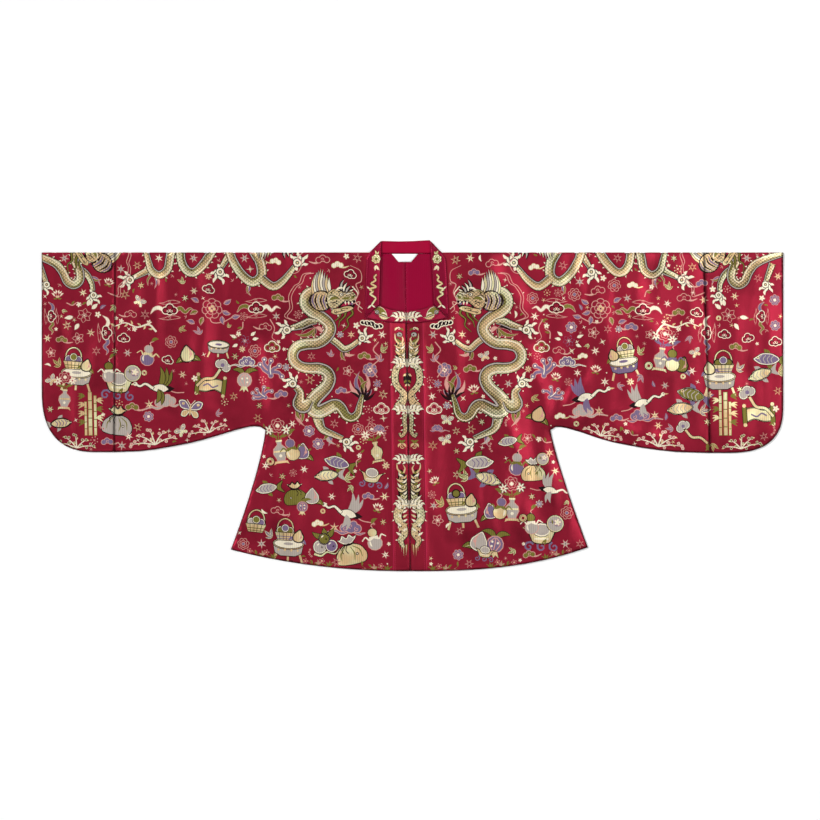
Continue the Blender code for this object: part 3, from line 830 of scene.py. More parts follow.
def fruits():
    """Three round fruits with leaves, tied with a ribbon."""
    drawn = bent("gold", (3.4, 2.4, 1), [-20-12j, -10-17j, 0-13j, 12-18j, 21-12j])
    drawn += [("olive", leaf(2+10j, tip, 8, bend)) for tip, bend in ((-16+22j, 0.12), (18+21j, -0.12), (3+25j, 0.0))]
    for at, radius, thread in ((-9-3j, 10.5, "grey"), (9-5j, 9.5, "lavender"), (0+8j, 8.5, "olive")):
        drawn += rimmed(disc(at, radius, sides=13), thread, "cream", 1.2)
        drawn += [("cream", leaf(at - 4 + 2j, at + 1 + 5j, 2.4, 0.2)), ("dark", sparkle_line(at + 3 - 1j))]
    return drawn


def sparkle_line(at):
    return star(4, 2.6, 0.8) + at


def bat(wing="lavender", body="grey"):
    """A bat seen from above, its wings spread: a sign of luck."""
    drawn = []
    for hand in (1, -1):
        outline = curve([2+2j, 10+12j, 24+14j, 32+6j, 27+2j, 25-7j, 19-3j, 14-10j, 9-4j, 3-6j], True)
        outline = outline if hand > 0 else -outline.conjugate()
        drawn += rimmed(outline, wing, "cream", 1.5)
        drawn += bent("gold", 1.4, [hand * 4 + 2j, hand * 14 + 8j, hand * 26 + 8j])
        drawn += curls("gold", (hand * 13 + 1j, 4, 60, 1.0, 1.3, hand))
    drawn += rimmed(disc(0, 7, 1.25), body, "dark", 1.2) + leaves("gold", (-3+7j, -6+15j, 3.4), (3+7j, 6+15j, 3.4))
    return drawn + dots("dark", 1.2, 6, -2.4+4j, 2.4+4j)


def ingot(metal="gold", top="grey"):
    """A boat-shaped ingot on curling waves."""
    hull = curve([-22+9j, -15+2j, -9-9j, 9-9j, 15+2j, 22+9j, 12+6j, 0+4j, -12+6j], True)
    drawn = [("lavender", spiral(x - 13j, 6, 30 + 40 * k, 1.2, 2.4)) for k, x in enumerate((-14, 0, 14))]
    drawn += rimmed(hull, metal, "dark", 1.3) + rimmed(disc(6j, 10, 0.75), top, "cream", 1.4)
    return drawn + straight("cream", 1.6, [-8-4j, 8-4j])


def gourd(upper="grey", lower="lavender", band="gold"):
    """A double gourd on its stem, with a tied ribbon."""
    drawn = bent("pink", 1.6, [17j, 19 * 1j + 3, 25j + 1, 29j + 7])
    drawn += rimmed(disc(-5j, 13, 0.95), lower, "pink", 1.2) + rimmed(disc(13j, 8.5, 0.95), upper, "pink", 1.0)
    ribbon = [curve([0+5j, 9+1j, 14+7j, 21+2j]), curve([0+5j, -8+2j, -13+8j, -20+3j])]
    drawn += [(band, stroke(line, 3.2, 1.6)) for line in ribbon]
    drawn += straight(band, 3.4, [-7.5+5j, 5j, 7.5+5j]) + leaves("olive", (27j + 3, 34j + 15, 6, 0.2))
    return drawn + leaves("cream", (-10j - 6, 2j - 7, 3, 0.1)) + dots("dark", 1.5, 6, 21.4j)


def peach(fill="grey"):
    """A longevity peach on its leaves."""
    drawn = leaves("olive", (-6j, 20-10j, 9, 0.2), (-6j, -20-8j, 9, -0.2))
    drawn += leaves("gold", (-6j, 17-9.5j, 1.2, 0.2), (-6j, -17-7.5j, 1.2, -0.2))
    body = curve([-9j, 10-5j, 11+5j, 5+13j, 0+18j, -6+12j, -11+4j, -9-6j], True)
    drawn += rimmed(body, fill, "cream", 1.1) + leaves("pink", (2+16j, 1-6j, 2.0, 0.2)) + dots("pink", 2.4, 8, 6+3j)
    return drawn


def pomegranate(fill="lavender"):
    drawn = leaves("olive", (8j, 20+16j, 7, 0.2), (8j, -19+15j, 7, -0.2))
    drawn += rimmed(disc(0, 12), fill, "pink", 1.2)
    drawn += [("gold", np.array([-4-10j, -7-18j, -2-14.5j, 0-19j, 2-14.5j, 7-18j, 4-10j]))]
    ribs = ([9j - 1, -7+1j, -2-9j], [9j, 1j, 1-9j], [9j + 1, 8+1j, 3-9j])
    return drawn + bent("pink", 1.3, *ribs) + dots("cream", 1.7, 6, -3.6+2j, 4+3j, 4.4-3j)


def vase(body="lavender"):
    """A vase on a stand with three flowers."""
    shape = np.array(
        [-4+14j, -3.4+9j, -9.5+3j, -10.5-4j, -6.5-12j, -6-15j, 6-15j, 6.5-12j, 10.5-4j, 9.5+3j, 3.4+9j, 4+14j]
    )
    drawn = []
    side, middle = daisy("cream"), rose("ground", "pink", "cream")
    for flower, tip, size in ((side, -12+31j, 0.85), (middle, 1+36j, 0.5), (side, 13+29j, 0.85)):
        drawn += bent("olive", 1.4, [12j, tip * 0.5 + 8j, tip]) + put(flower, tip, size=size)
    drawn += leaves("olive", (20j - 1, 24j - 14, 4), (20j + 1, 21j + 15, 4))
    drawn += rimmed(shape, body, "pink", 1.1)
    drawn += straight("gold", 2.6, [-9-1j, 9-1j]) + straight("gold", 2.4, [-4.4+14j, 4.4+14j])
    drawn += dots("cream", 2.4, 8, -7.5j)
    return drawn + [("gold", np.array([-9-15j, -11-20j, -7-18j, 7-18j, 11-20j, 9-15j]))]


def lantern(body="grey"):
    drawn = straight("gold", 1.3, [18j, 27j]) + [("gold", np.array([-7+12j, -9+15j, 0+19j, 9+15j, 7+12j]))]
    drawn += rimmed(disc(1j, 12.5, 0.95), body, "cream", 1.1)
    drawn += [("lavender", stroke(curve([12j + k * 0.3, k + 1j, -10j + k * 0.3]), 1.0)) for k in (-7, 0, 7)]
    drawn += [("gold", np.array([-6-10j, -5-13j, 5-13j, 6-10j]))]
    return drawn + [("gold", leaf(-13j + k, -26j + 1.8 * k, 1.7)) for k in (-3, 0, 3)]


def fan(sheet="grey"):
    """A round fan with a tassel."""
    drawn = straight("gold", (2.2, 1.6), [-12j, -30j]) + leaves("olive", (-30j, -42j + 3, 3), (-30j, -42j - 3, 3))
    drawn += rimmed(disc(0, 14, 1.0, 0, 16), sheet, "gold", 1.5)
    drawn += bent("lavender", 1.5, [-9-3j, -2+2j, 2-3j, 9+2j]) + put(plum("cream"), 2+4j, size=0.9)
    return drawn + leaves("olive", (-3-3j, -9+4j, 3))


def lucky_bag(cloth="gold", lining="grey", tie="dark"):
    """A full cloth bag, tied at the neck, its frill open above."""
    frill = curve([-5+13j, -14+22j, -8+21j, -3+26j, 2+21j, 8+26j, 12+20j, 16+20j, 6+12j], True)
    body = curve([-5+12j, -18+6j, -25-8j, -20-20j, -4-22j, 14-21j, 25-16j, 24-2j, 15+8j, 6+12j], True)
    drawn = rimmed(frill, lining, "cream", 1.2) + rimmed(body, cloth, "dark", 1.4)
    drawn += bent(tie, 2.4, [-8+12j, 0+10j, 9+12j]) + bent(tie, 1.6, [5+11j, 13+5j, 12-2j])
    drawn += bent(tie, 1.4, [3+11j, 7+3j, 4-3j])
    drawn += bent("olive", (0.8, 2.0, 0.6), [-4+8j, -14+0j, -16-12j], [-1+7j, -5-4j, -3-15j], [7+8j, 16-2j, 17-12j])
    return drawn + dots("dark", 2.4, 8, -9-6j) + dots("cream", 1.2, 6, -9-6j)


def butterfly(upper="lavender", lower="olive"):
    wing = rimmed(curve([1j, 9+13j, 19+12j, 16+2j, 5-1j], True), upper, "cream", 1.3) + dots("gold", 2.4, 8, 12+8j)
    tail = rimmed(curve([-1j, 11-3j, 14-11j, 7-13j, 2-6j], True), lower, "cream", 1.1)
    both = [part for flip in (False, True) for part in put(tail + wing, mirror=flip)]
    feelers = [("cream", stroke(curve([6j, 10j + k, 15j + 2.2 * k]), 0.9)) for k in (-3, 3)]
    return both + feelers + leaves("gold", (-11j, 9j, 4))


def fish(body="grey", fins="olive"):
    side = curve([-17+2j, -8+8j, 5+8j, 14+2j, 16-1j, 6-6j, -8-5j], True)
    drawn = [(fins, curve([-15+1j, -27+10j, -23+1j, -28-8j], True))]
    drawn += leaves(fins, (-4+6j, 4+14j, 7), (-2-4j, -9-12j, 6))
    drawn += rimmed(side, body, "cream", 1.1)
    drawn += [("lavender", stroke(curve([x - 4j, x + 3 + 1j, x + 6j]), 1.1)) for x in (-9, -4, 1, 6)]
    return drawn + dots("gold", 1.9, 8, 11+2j) + dots("dark", 0.9, 6, 11+2j)


def crane(body="cream", wing="grey"):
    """A flying crane."""
    neck = curve([8+1j, 18+7j, 25+4j, 31+7j])
    drawn = bent("pink", 1.2, [-9, -20-4j, -31-4j]) + leaves("dark", (-4, -19+1j, 8))
    drawn += [(wing, leaf(1+2j, p, 6.5, 0.16)) for p in (-16+24j, -9+28j, -1+29j)]
    drawn += leaves(body, (-11, 13+1j, 10, 0.04)) + [(body, stroke(neck, 3.4, 2.2, 2.6))] + dots(body, 2.7, 8, 31+7j)
    drawn += leaves("gold", (32+7j, 39+6j, 2))
    return drawn + [(wing, leaf(2, p, 5.5, -0.16)) for p in (-2-20j, 5-18j)] + dots("dark", 0.8, 5, 31.6+7.6j)


def coin():
    return dots("gold", 7.5, 14, 0) + [
        ("ground", np.array([-2.6-2.6j, 2.6-2.6j, 2.6+2.6j, -2.6+2.6j])),
        ("dark", stroke(disc(0, 5.6, sides=14)[:4], 0.7)), ("dark", stroke(disc(0, 5.6, sides=14)[7:11], 0.7)),
    ]


def scroll_roll(paper="cream"):
    sheet = curve([-16-6j, -5-8j, 6-5j, 16-8j, 17+6j, 6+9j, -5+6j, -15+8j], True, 3)
    drawn = rimmed(sheet, paper, "gold", 1.0) + straight("olive", 4.5, [-17-9j, -16+11j], [17-10j, 18+9j])
    drawn += bent("lavender", 1.8, [-9-1j, -3+2j, 3-2j, 10+1j])
    return drawn + dots("gold", 2.4, 7, -17-11j, -16+13j, 17-12j, 18+11j)


def sceptre(head="grey"):
    """A ruyi sceptre."""
    shaft = curve([-24-10j, -10-3j, 4-5j, 17+5j])
    drawn = [("dark", stroke(shaft, 5.0)), ("gold", stroke(shaft, 3.6))]
    lobes = [disc(18+13j, 5.5), disc(26+5j, 5.5), disc(23+12j, 6)]
    drawn += blob(lobes, head, "cream", 1.1) + dots("lavender", 3, 8, 22+10j)
    return drawn + leaves("olive", (-24-10j, -30-22j, 4, 0.2), (-24-10j, -22-24j, 4, -0.2))


def basket(fruit="lavender"):
    drawn = bent("gold", 1.8, [-15+0j, -11+19j, 0+26j, 11+19j, 15+0j])
    drawn += [
        part
        for p, thread in ((-8+6j, fruit), (8+6j, "grey"), (0+10j, "olive"))
        for part in rimmed(disc(p, 6.2), thread, "cream", 0.9)
    ]
    bowl = np.array([-17+3j, -12-11j, 12-11j, 17+3j])
    drawn += rimmed(bowl, "gold", "dark", 0.9) + straight("olive", 1.3, [-14.5-4j, 14.5-4j], [-13-8j, 13-8j])
    return drawn + [("dark", stroke(np.array([x + 2j, x * 0.8 - 10j]), 0.8)) for x in (-10, -3, 3, 10)]


def drum(side_thread="lavender"):
    """A low table drum on a stand."""
    drawn = straight("gold", 2.6, [-13-4j, -18-18j], [13-4j, 18-18j], [0-8j, 0-17j])
    drawn += rimmed(np.array([-19+5j, -17-7j, -9-11j, 9-11j, 17-7j, 19+5j]), side_thread, "dark", 1.0)
    drawn += rimmed(disc(5j, 19, 0.36, 0, 18), "cream", "gold", 1.4)
    return drawn + [("gold", disc(x - 3j, 1.6, sides=6)) for x in (-12, -4, 4, 12)] + [("lavender", disc(5j, 6, 0.3))]


def bamboo(height):
    """Stems with nodes and long leaves."""
    drawn = []
    for x, tall, wide in ((-7, 0.92, 5.2), (4, 1.0, 7.5), (14, 0.78, 4.6)):
        drawn += straight("olive", wide + 1.6, [x, x + 1j * height * tall])
        for k in range(5):
            low, high = height * tall * np.array((k + 0.05, k + 0.95)) / 5
            drawn += straight("gold", wide, [x + 1j * low, x + 1j * high])
    for k in range(7):
        at = (-9 if k % 2 else 15) + 1j * height * (0.30 + 0.10 * k)
        side = -1 if k % 2 else 1
        for turn in (0.35, -0.05, -0.5):
            tip = at + 17 * cmath.exp(1j * (turn if side > 0 else math.pi - turn))
            drawn += leaves("gold" if k % 3 else "olive", (at, tip, 4.0, 0.1 * side))
    return drawn


def field_star(fill="cream", rim="pink"):
    """A six-rayed star flower."""
    return [(rim, star(6, 10.5, 3.6)), (fill, star(6, 8.4, 2.4))] + dots("dark", 1.2, 6, 0)


def sprig(stem="cream", bud="pink"):
    """A low bush: a forked stem with round buds and small leaves."""
    drawn = []
    for k, tip in enumerate((-46+10j, -24+25j, 6+34j, 33+26j, 54+9j)):
        line = curve([0, tip * 0.5 + 3j, tip])
        drawn.append((stem, stroke(line, 3.4, 1.3)))
        stops = along(line, 11)
        for j, (at, way) in enumerate(zip(stops[1:], heading(stops)[1:])):
            out = at + way * (3 + 5j if (j + k) % 2 else 3 - 5j)
            if (j + k) % 3:
                drawn += rimmed(disc(out, 3.7, sides=8), bud, "cream", 0.8)
            else:
                drawn += leaves("gold", (at, out + 4 * way, 4.0, 0.15))
        drawn += rimmed(disc(tip, 4.0, sides=8), bud, "cream", 0.8)
    return drawn


def ring_star(thread="pink"):
    """A small round of dots about a star."""
    return around(dots(thread, 1.4, 5, 7.5j), 7) + sparkle(thread, 4, 4.65, 1.8)


def claw_foot(size=1.0):
    """A dragon's foot: five long toes with knuckles, the middle one along +y."""
    drawn = []
    for turn, reach in ((66, 17), (22, 21), (-22, 21), (-66, 17), (152, 13)):
        tip = reach * cmath.exp(1j * math.radians(90 + turn))
        drawn += leaves("cream", (0, tip * 0.7, 8.2, 0.1), (tip * 0.5, tip, 4.8, -0.16 if turn < 0 else 0.16))
    drawn += dots("cream", 6.2, 9, 0) + dots("dark", 3.0, 8, 0) + dots("gold", 1.7, 7, 0)
    return put(haloed(drawn, 40.0, 1.2), size=1.2 * size)


def flames(*tips, base=0, threads=("lavender", "olive", "pink"), width=5.0):
    drawn = []
    for k, tip in enumerate(tips):
        bend = 0.22 if k % 2 else -0.22
        drawn += rimmed(leaf(base, tip, width, bend), threads[k % len(threads)], "pink", 0.8)
    return drawn


def scaly(line, *widths, dorsal=1, spikes=True, belly="grey", skin="scales"):
    """A dragon's limb or trunk: a dark edge, a pale ridge, a narrow belly and spikes down its back."""
    line = along(line, 4.5)
    half = np.interp(np.linspace(0, 1, len(line)), np.linspace(0, 1, len(widths)), widths) / 2
    way = heading(line)
    back = 1j * way * dorsal * half
    drawn = []
    if spikes:
        for k in range(2, len(line) - 2, 3):
            root = line[k] + back[k] * 0.9
            tip = line[k] + back[k] * (1 + 6.0 / max(half[k], 4)) + way[k] * 3
            drawn.append(("cream", np.array([root - way[k] * 3, tip, root + way[k] * 3])))
    drawn += [("dark", stroke(line, *(2 * half + 3.4))), (skin, stroke(line, *(2 * half)))]
    if belly:
        # painted shade: a darker strip of scale weave along the belly side, for a rounded look
        drawn.append(("shade", stroke(line - 0.5 * back, *(0.5 * half))))
        drawn.append(("dark", stroke(line - 0.83 * back, *(0.36 * half))))
        drawn.append((belly, stroke(line - 0.88 * back, *(0.24 * half))))
        drawn.append(("cream", stroke((line + 0.66 * back)[1:-1], *(0.2 * half[1:-1]))))
    return drawn


def dragon_head():
    """A dragon's head in profile, looking along +x: its mane stands up in a sheaf, its ruff is striped."""
    drawn = []
    for k in range(4):  # horns and ears over the brow
        root, tip = 8 + 5 * k + 20j - 3j * k, 14 + 7 * k + 1j * (50 - 7 * k)
        drawn += leaves("dark", (root, tip, 9, 0.12))
        drawn += leaves("cream" if k % 2 else "grey", (root + 2j, tip - 3j, 4.2, 0.12))
    for k in range(8):  # mane
        root = -52 + 5.2 * k + 1j * (14 + 1.3 * k)
        tip = -50 + 4.6 * k + 1j * (58 + 14 * math.sin(0.5 * k))
        drawn += rimmed(leaf(root - 6j, tip, 9.5, 0.07), ("gold", "cream", "grey")[k % 3], "dark", 1.2)
    drawn += [("dark", disc(-36+0j, 25, 0.95, sides=17)), ("scales", disc(-37+0j, 22, 0.95, sides=15))]
    for k in range(8):  # ruff
        x = -58 + 6.0 * k
        bow = curve([x + 1j * (16 - 0.5 * k), x - 4 + 0j, x + 3 - 1j * (16 + 0.8 * k)])
        drawn.append((("dark", "lavender", "dark", "grey")[k % 4], stroke(bow, 1.6, 4.2, 1.8)))
    beard = ([26-13j, 32-28j, 20-40j, 22-54j, 8-68j], [18-20j, 14-34j, 4-44j, 0-58j], [8-20j, 2-36j, -10-46j])
    drawn += bent("dark", (8, 6, 2), *beard) + bent("olive", (4.5, 3, 1), *beard)
    for k in range(7):  # whiskers below the jaw
        tuft = leaf(-16 - 4j * k + 2 * k, -30 - 5.5j * k + 5.0 * k - 4j, 6.5, 0.12)
        drawn += rimmed(tuft, ("cream", "olive", "grey")[k % 3], "dark", 0.9)
    mouth = curve([2-6j, 16-1j, 36+2j, 38-6j, 34-14j, 18-13j, 2-17j], True)
    drawn += [("dark", mouth), ("bright", leaf(6-12j, 36-7j, 6.5, 0.1))]
    jaw = curve([-12-18j, 4-15j, 16-11j, 28-11j, 35-16j, 27-22j, 12-27j, -2-31j, -15-27j], True)
    skull = curve(
        [-25+4j, -21+20j, -7+27j, 8+24j, 18+19j, 26+22j, 35+20j, 41+11j, 38+2j, 29-2j, 18+0j, 8-7j, -6-17j, -20-13j],
        True,
    )
    drawn += rimmed(jaw, "gold", "dark", 1.2) + rimmed(skull, "scales", "dark", 1.3)
    drawn += [("cream", leaf(x + 0j, x + 1 - 9j, 4.0)) for x in (16, 23, 31)]
    drawn += [("dark", disc(8+14j, 5.2, 0.85, sides=9)), ("cream", disc(8+14j, 3.6, 0.85, sides=9))]
    drawn += dots("dark", 1.7, 7, 9+14j)
    drawn += [
        ("dark", disc(at, r, sides=7))
        for at, r in ((36+11j, 2.0), (27+14j, 1.7), (-14+18j, 1.8), (-3-1j, 2.0), (20-17j, 1.6), (8-20j, 1.6))
    ]
    drawn += curls(
        "dark", (-14+6j, 7, 60, 1.1, 1.3), (22+9j, 5, 200, 1.1, 1.3, -1), (-8-8j, 5, 20, 1.1, 1.3),
        (-4-24j, 4.5, 120, 1.1, 1.3),
    )
    drawn += bent("olive", (1.2, 2.2, 0.8), [-18+17j, -10+22j, 0+22j], [12+7j, 22+4j, 34+5j], [4-18j, 14-16j, 28-15j])
    drawn += bent("dark", 2.2, [0+20j, 8+22j, 15+18j]) + [("lavender", disc(30-6j, 3.0, 0.7, sides=9))]
    drawn += leaves("cream", (-22+0j, -4+10j, 2.6, 0.2), (12+17j, 32+18j, 2.4, -0.1))
    drawn += leaves("olive", (-19+1j, 3+4j, 7, 0.2), (9+6j, 28+9j, 5, -0.1))
    drawn += [("olive", disc(33+8j, 4.2, 0.8, sides=9))] + dots("dark", 1.6, 6, 34+9j)
    drawn += leaves("cream", (-5+22j, 16+27j, 4.4, 0.2))
    drawn += bent(
        "dark", 1.4, [-11+12j, -2+9j, 4+4j], [-17-5j, -8-3j, 0-7j], [16+16j, 26+18j, 36+15j], [-8-26j, 4-23j, 16-20j],
        [-22+10j, -15+14j, -12+21j],
    )
    drawn += bent(
        "pink", (1.8, 2.2, 0.8), [36+2j, 46+18j, 40+36j, 52+44j, 50+66j, 28+78j], [34-6j, 48-2j, 44-18j, 52-26j],
    )
    trail = curve([-58+62j, -76+58j, -84+40j, -96+32j, -108+10j, -106-16j, -118-34j, -96-44j])
    return drawn + [("pink", stroke(trail + step, 1.5)) for step in (0, 6-1j)]


def limb(points, widths, size, foot, turn, dorsal=1):
    """A dragon's arm or leg through these points, and the foot at its end."""
    return scaly(curve(points), *widths, dorsal=dorsal, spikes=False) + put(claw_foot(size), foot, turn)


def great_dragon():
    """A winding dragon, as distance out from the opening and height."""
    spine = curve([
        188+248j, 208+250j, 220+240j, 222+222j, 208+206j, 189+196j, 172+182j, 167+167j, 176+150j, 195+137j,
        221+135j, 241+129j, 251+114j, 248+98j, 234+86j, 214+82j, 194+82j, 177+75j, 170+61j, 176+44j,
        188+31j, 202+18j, 211+4j, 207-10j, 192-13j, 176-5j, 162+2j,
    ])
    tail = curve([178-6j, 166+1j, 155+2j, 145-7j, 137-21j, 123-27j, 110-17j, 105+3j, 99+24j])
    drawn = flames(
        216+152j, 200+146j, 186+158j, 232+158j, 246+158j, base=200 + 172j, threads=("dark", "olive", "pink"), width=9,
    )
    drawn += flames(
        126+106j, 114+112j, 146+100j, 134+98j, base=142 + 122j, threads=("olive", "pink", "dark"), width=7,
    )
    drawn += flames(240-44j, 226-46j, 248-28j, 232-34j, base=240 - 2j, threads=("olive", "pink", "dark"), width=8)
    drawn += flames(176-90j, 158-86j, 188-76j, base=180 - 56j, threads=("lavender", "grey", "olive"), width=8)
    drawn += flames(
        126+56j, 118+72j, 104+76j, 92+72j, 84+56j, 78+36j, base=100 + 24j, threads=("pink", "olive", "lavender"),
        width=9,
    )
    for turn in (150, 125, 102, 80, 56, 30):
        drawn += leaves("dark", (100+10j, 99 + 14j + 34 * cmath.exp(1j * math.radians(turn)), 6, 0.1))
    drawn += limb([168+148j, 152+136j, 138+124j, 122+130j, 106+142j], (15, 14, 14, 11, 10), 1.05, 98+148j, 48, -1)
    drawn += limb([200-6j, 196-34j, 188-52j, 168-62j, 144-72j], (28, 22, 16, 13, 10), 1.1, 136-80j, 120)
    drawn += scaly(tail, 26, 24, 22, 19, 16, 12, 7, skin="shade")
    drawn += scaly(spine, 20, 23, 25, 25, 24, 23, 24, 23, 22, 24, 25, 28, 32, 29, 26)
    drawn += limb([196+184j, 214+184j, 232+176j, 254+170j], (8, 18, 16, 11), 1.15, 263+166j, -80)
    drawn += limb([212+12j, 228-2j, 240+4j, 236+28j, 246+40j], (10, 30, 26, 17, 12), 1.1, 252+48j, -40)
    return drawn + put(dragon_head(), 150+230j, mirror=True)


def shoulder_dragon():
    """A dragon that winds down and up over the shoulder fold, half of it on the back."""
    loops = curve([
        574+356j, 567+325j, 559+298j, 541+287j, 524+299j, 518+325j, 513+350j, 503+366j, 496+345j,
        492+315j, 480+296j, 464+293j, 446+309j, 431+330j, 420+352j, 404+368j, 390+354j, 381+322j,
        362+290j, 338+272j, 318+285j, 320+315j, 336+345j, 330+372j, 306+384j, 284+372j,
    ])
    drawn = flames(553+256j, 566+262j, 543+262j, base=556 + 288j) + flames(352+246j, 340+240j, base=346 + 268j)
    drawn += limb([556+302j, 580+290j, 601+280j], (17, 13, 10), 1.15, 606+276j, -100)
    drawn += limb([384+338j, 396+318j, 407+300j], (15, 13, 9), 1.15, 408+294j, -170)
    drawn += scaly(loops, 9, 15, 18, 19, 18, 19, 20, 18, 20, 21, 20, 16)
    drawn += limb([318+280j, 292+262j, 268+276j, 244+306j], (18, 18, 14, 10), 1.2, 238+314j, 30)
    return drawn + put(dragon_head(), 262+372j, 200)


def cuff_dragon():
    """A dragon whose head lies on the fold by the sleeve seam and whose body runs out over the cuff."""
    spine = curve(
        [840+336j, 803+326j, 770+312j, 754+293j, 744+272j, 729+265j, 716+276j, 717+298j, 727+318j, 726+342j]
    )
    drawn = flames(672+262j, 668+278j, base=694 + 284j)
    drawn += limb([722+304j, 702+290j, 691+270j, 688+252j], (15, 12, 9), 0.95, 687+243j, 170)
    drawn += scaly(spine, 10, 14, 17, 18, 18, 17, 17, dorsal=-1) + put(claw_foot(0.95), 790+266j, -160)
    drawn += scaly(curve([806+312j, 798+290j, 792+274j]), 14, 10, spikes=False)
    return drawn + put(dragon_head(), 694+336j, 40, 0.95)


def crest(top, low):
    """Half of a mirrored pair of dragon heads: dark ground, rows of gold and cream spikes, curls and horns."""
    tall = top - low
    edge = (
        (3, low), (20, low + 2), (24, low + 0.3 * tall), (20, low + 0.5 * tall), (24, low + 0.75 * tall),
        (17, top - 6), (9, low + 0.8 * tall), (3, low + 0.6 * tall),
    )
    drawn = [("dark", curve([x + 1j * y for x, y in edge], True))]
    for k in range(9):
        y = low + tall * (0.02 + 0.098 * k)
        tip = 25 + 4 * math.sin(2.3 * k) + 1j * (y + 9 + 4 * math.cos(1.7 * k))
        drawn += rimmed(leaf(9 + 1j * y, tip, 7.4, -0.16), ("gold", "cream", "olive")[k % 3], "dark", 0.9)
    for k in range(7):
        y = low + tall * (0.04 + 0.11 * k)
        spike = leaf(16 + 1j * (y - 3), 4 + 1j * (y + 8), 6.4, 0.18)
        drawn += rimmed(spike, ("gold", "gold", "cream")[k % 3], "dark", 0.9)
    for share, radius in ((0.18, 6.0), (0.43, 6.6), (0.68, 5.2)):
        at = 14 + 3 * math.cos(9 * share) + 1j * (low + share * tall)
        drawn += rimmed(disc(at, radius, 0.85, sides=9), "gold", "dark", 1.2)
        drawn += curls("olive", (at, radius - 2, 40 + 300 * share, 1.1, 1.5)) + dots("dark", 1.6, 6, at + 1)
    horns = np.array([[18-14j, 25-4j, 26+8j], [11-14j, 8-4j, 12+3j]]) + 1j * top
    return drawn + bent("gold", (4, 3, 1), *horns)


def twined():
    """Half of the pair of bodies below the upper heads: an oval ring, then tails side by side."""
    body = curve([9+90j, 22+84j, 27+68j, 26+50j, 17+36j, 8+26j, 11+8j, 22-2j, 18-12j])
    drawn = scaly(body, 10, 14, 14, 13, 12, 14, 16, 13, belly=None)
    drawn += [
        ("dark", leaf(x + 1j * y, x + 6 + 1j * (y + 4), 3))
        for x, y in ((20, 78), (24, 60), (21, 46), (12, 34), (8, 18), (14, 4))
    ]
    drawn += [
        ("dark", disc(58j, 9, 1.7)), ("gold", leaf(2+70j, 10+64j, 5)), ("olive", leaf(1+56j, 8+50j, 5)),
        ("gold", leaf(48j, 6+42j, 4)),
    ]
    tail = curve([6-18j, 8-34j, 6-48j, 8-60j, 15-68j, 19-60j])
    drawn += scaly(tail, 9, 8, 8, 8, 6, 4, belly=None)
    return drawn + [("olive", disc(7 + 1j * y, 1.5, sides=6)) for y in (-26, -36, -46, -56)]


def fading():
    """The lower pair's bodies, which end in streaks that thin out towards the hem."""
    body = curve([12-216j, 24-232j, 25-250j, 14-264j, 11-282j, 20-296j, 13-312j])
    drawn = scaly(body, 15, 18, 16, 14, 15, 12, 5, belly=None)
    for k, y in enumerate((-226, -236, -246, -256, -266, -276, -286)):
        drawn.append((("cream", "gold")[k % 2], leaf(18 + 1j * y, 30 - 3 * (k % 3) + 1j * (y + 8), 5.5)))
        drawn.append((("gold", "cream")[k % 2], leaf(15 + 1j * y, 4 + 1j * (y + 7), 5)))
        drawn.append(("dark", disc(16 + 4 * math.sin(1.7 * k) + 1j * y, 1.8, sides=6)))
    return drawn + [
        (thread, stroke(curve([x + 1j * top, x + 1j * low]), 1.8, 1.1, 0.3))
        for x, top, low, thread in (
            (5, -304, -324, "olive"), (8, -306, -330, "gold"), (11, -308, -336, "olive"), (14, -308, -332, "gold"),
            (18, -300, -322, "gold"), (22, -296, -314, "olive"),
        )
    ]


def star_band(y):
    """Half of the spiky band across the pair."""
    up = 1j * y
    spikes = (
        (2, 4+12j, 0.25), (8, 13+14j, 0.25), (14, 23+14j, 0.3), (20, 32+10j, 0.3), (24, 36+1j, 0.3),
        (17, 27-8j, -0.2), (8, 15-9j, -0.2), (1, 3-8j, 0.0),
    )
    drawn = []
    for root, tip, bend in spikes:
        drawn += rimmed(leaf(root + up, tip + up, 6.4, bend), "cream", "dark", 0.7)
    drawn += straight("cream", (8, 7, 4), [up - 3, up + 12 + 1j, up + 25 + 1j])
    drawn += straight("gold", 1.6, [up - 2 - 1j, up + 20]) + dots("dark", 1.5, 6, up + 17 + 2j)
    return drawn + leaves("dark", (up + 4 + 2j, up + 11 + 4j, 1.6), (up + 5 - 3j, up + 12 - 3j, 1.4))


# ---------------------------------------------------------------- where the figures lie


def ruyi(core="dark", rim="cream"):
    """A cloud head seen from the front: a pale outline about a dark one, with scrolls."""
    lobes = [disc(-9-1j, 7), disc(9-1j, 7), disc(5j, 8), disc(-3j, 7)]
    inner = [inset(line, 2.6) for line in lobes]
    drawn = blob(lobes, "ground", rim, 2.0) + blob(inner, "ground", core, 1.6)
    return drawn + curls(rim, (-4-2j, 4, 60, 1.1, 1.5, -1), (4-2j, 4, 120, 1.1, 1.5)) + dots(core, 1.6, 6, -6j)


def cloud_row(left="olive", right="cream"):
    """A cloud head with a tail to each side and empty outlines above and below."""
    tail_a = curve([-14, -24+4j, -34-5j, -44+3j, -54-1j])
    tail_b = curve([14, 24+5j, 34+2j, 42-9j])
    drawn = rimmed(stroke(tail_a, 10, 9, 7, 2), left, "pink", 1.2)
    drawn += rimmed(stroke(tail_b, 9, 10, 8, 2), right, "pink", 1.0)
    for up in (17j, -17j):
        outline = curve(np.array([-24, -10+5j, 3+4j, 12, 25-2j, 10-5j, -8-4j]) + up, True)
        drawn += rimmed(outline, "ground", "pink", 1.1) + curls("pink", (up, 3.4, 0, 1.2, 1.0))
    return drawn + ruyi()


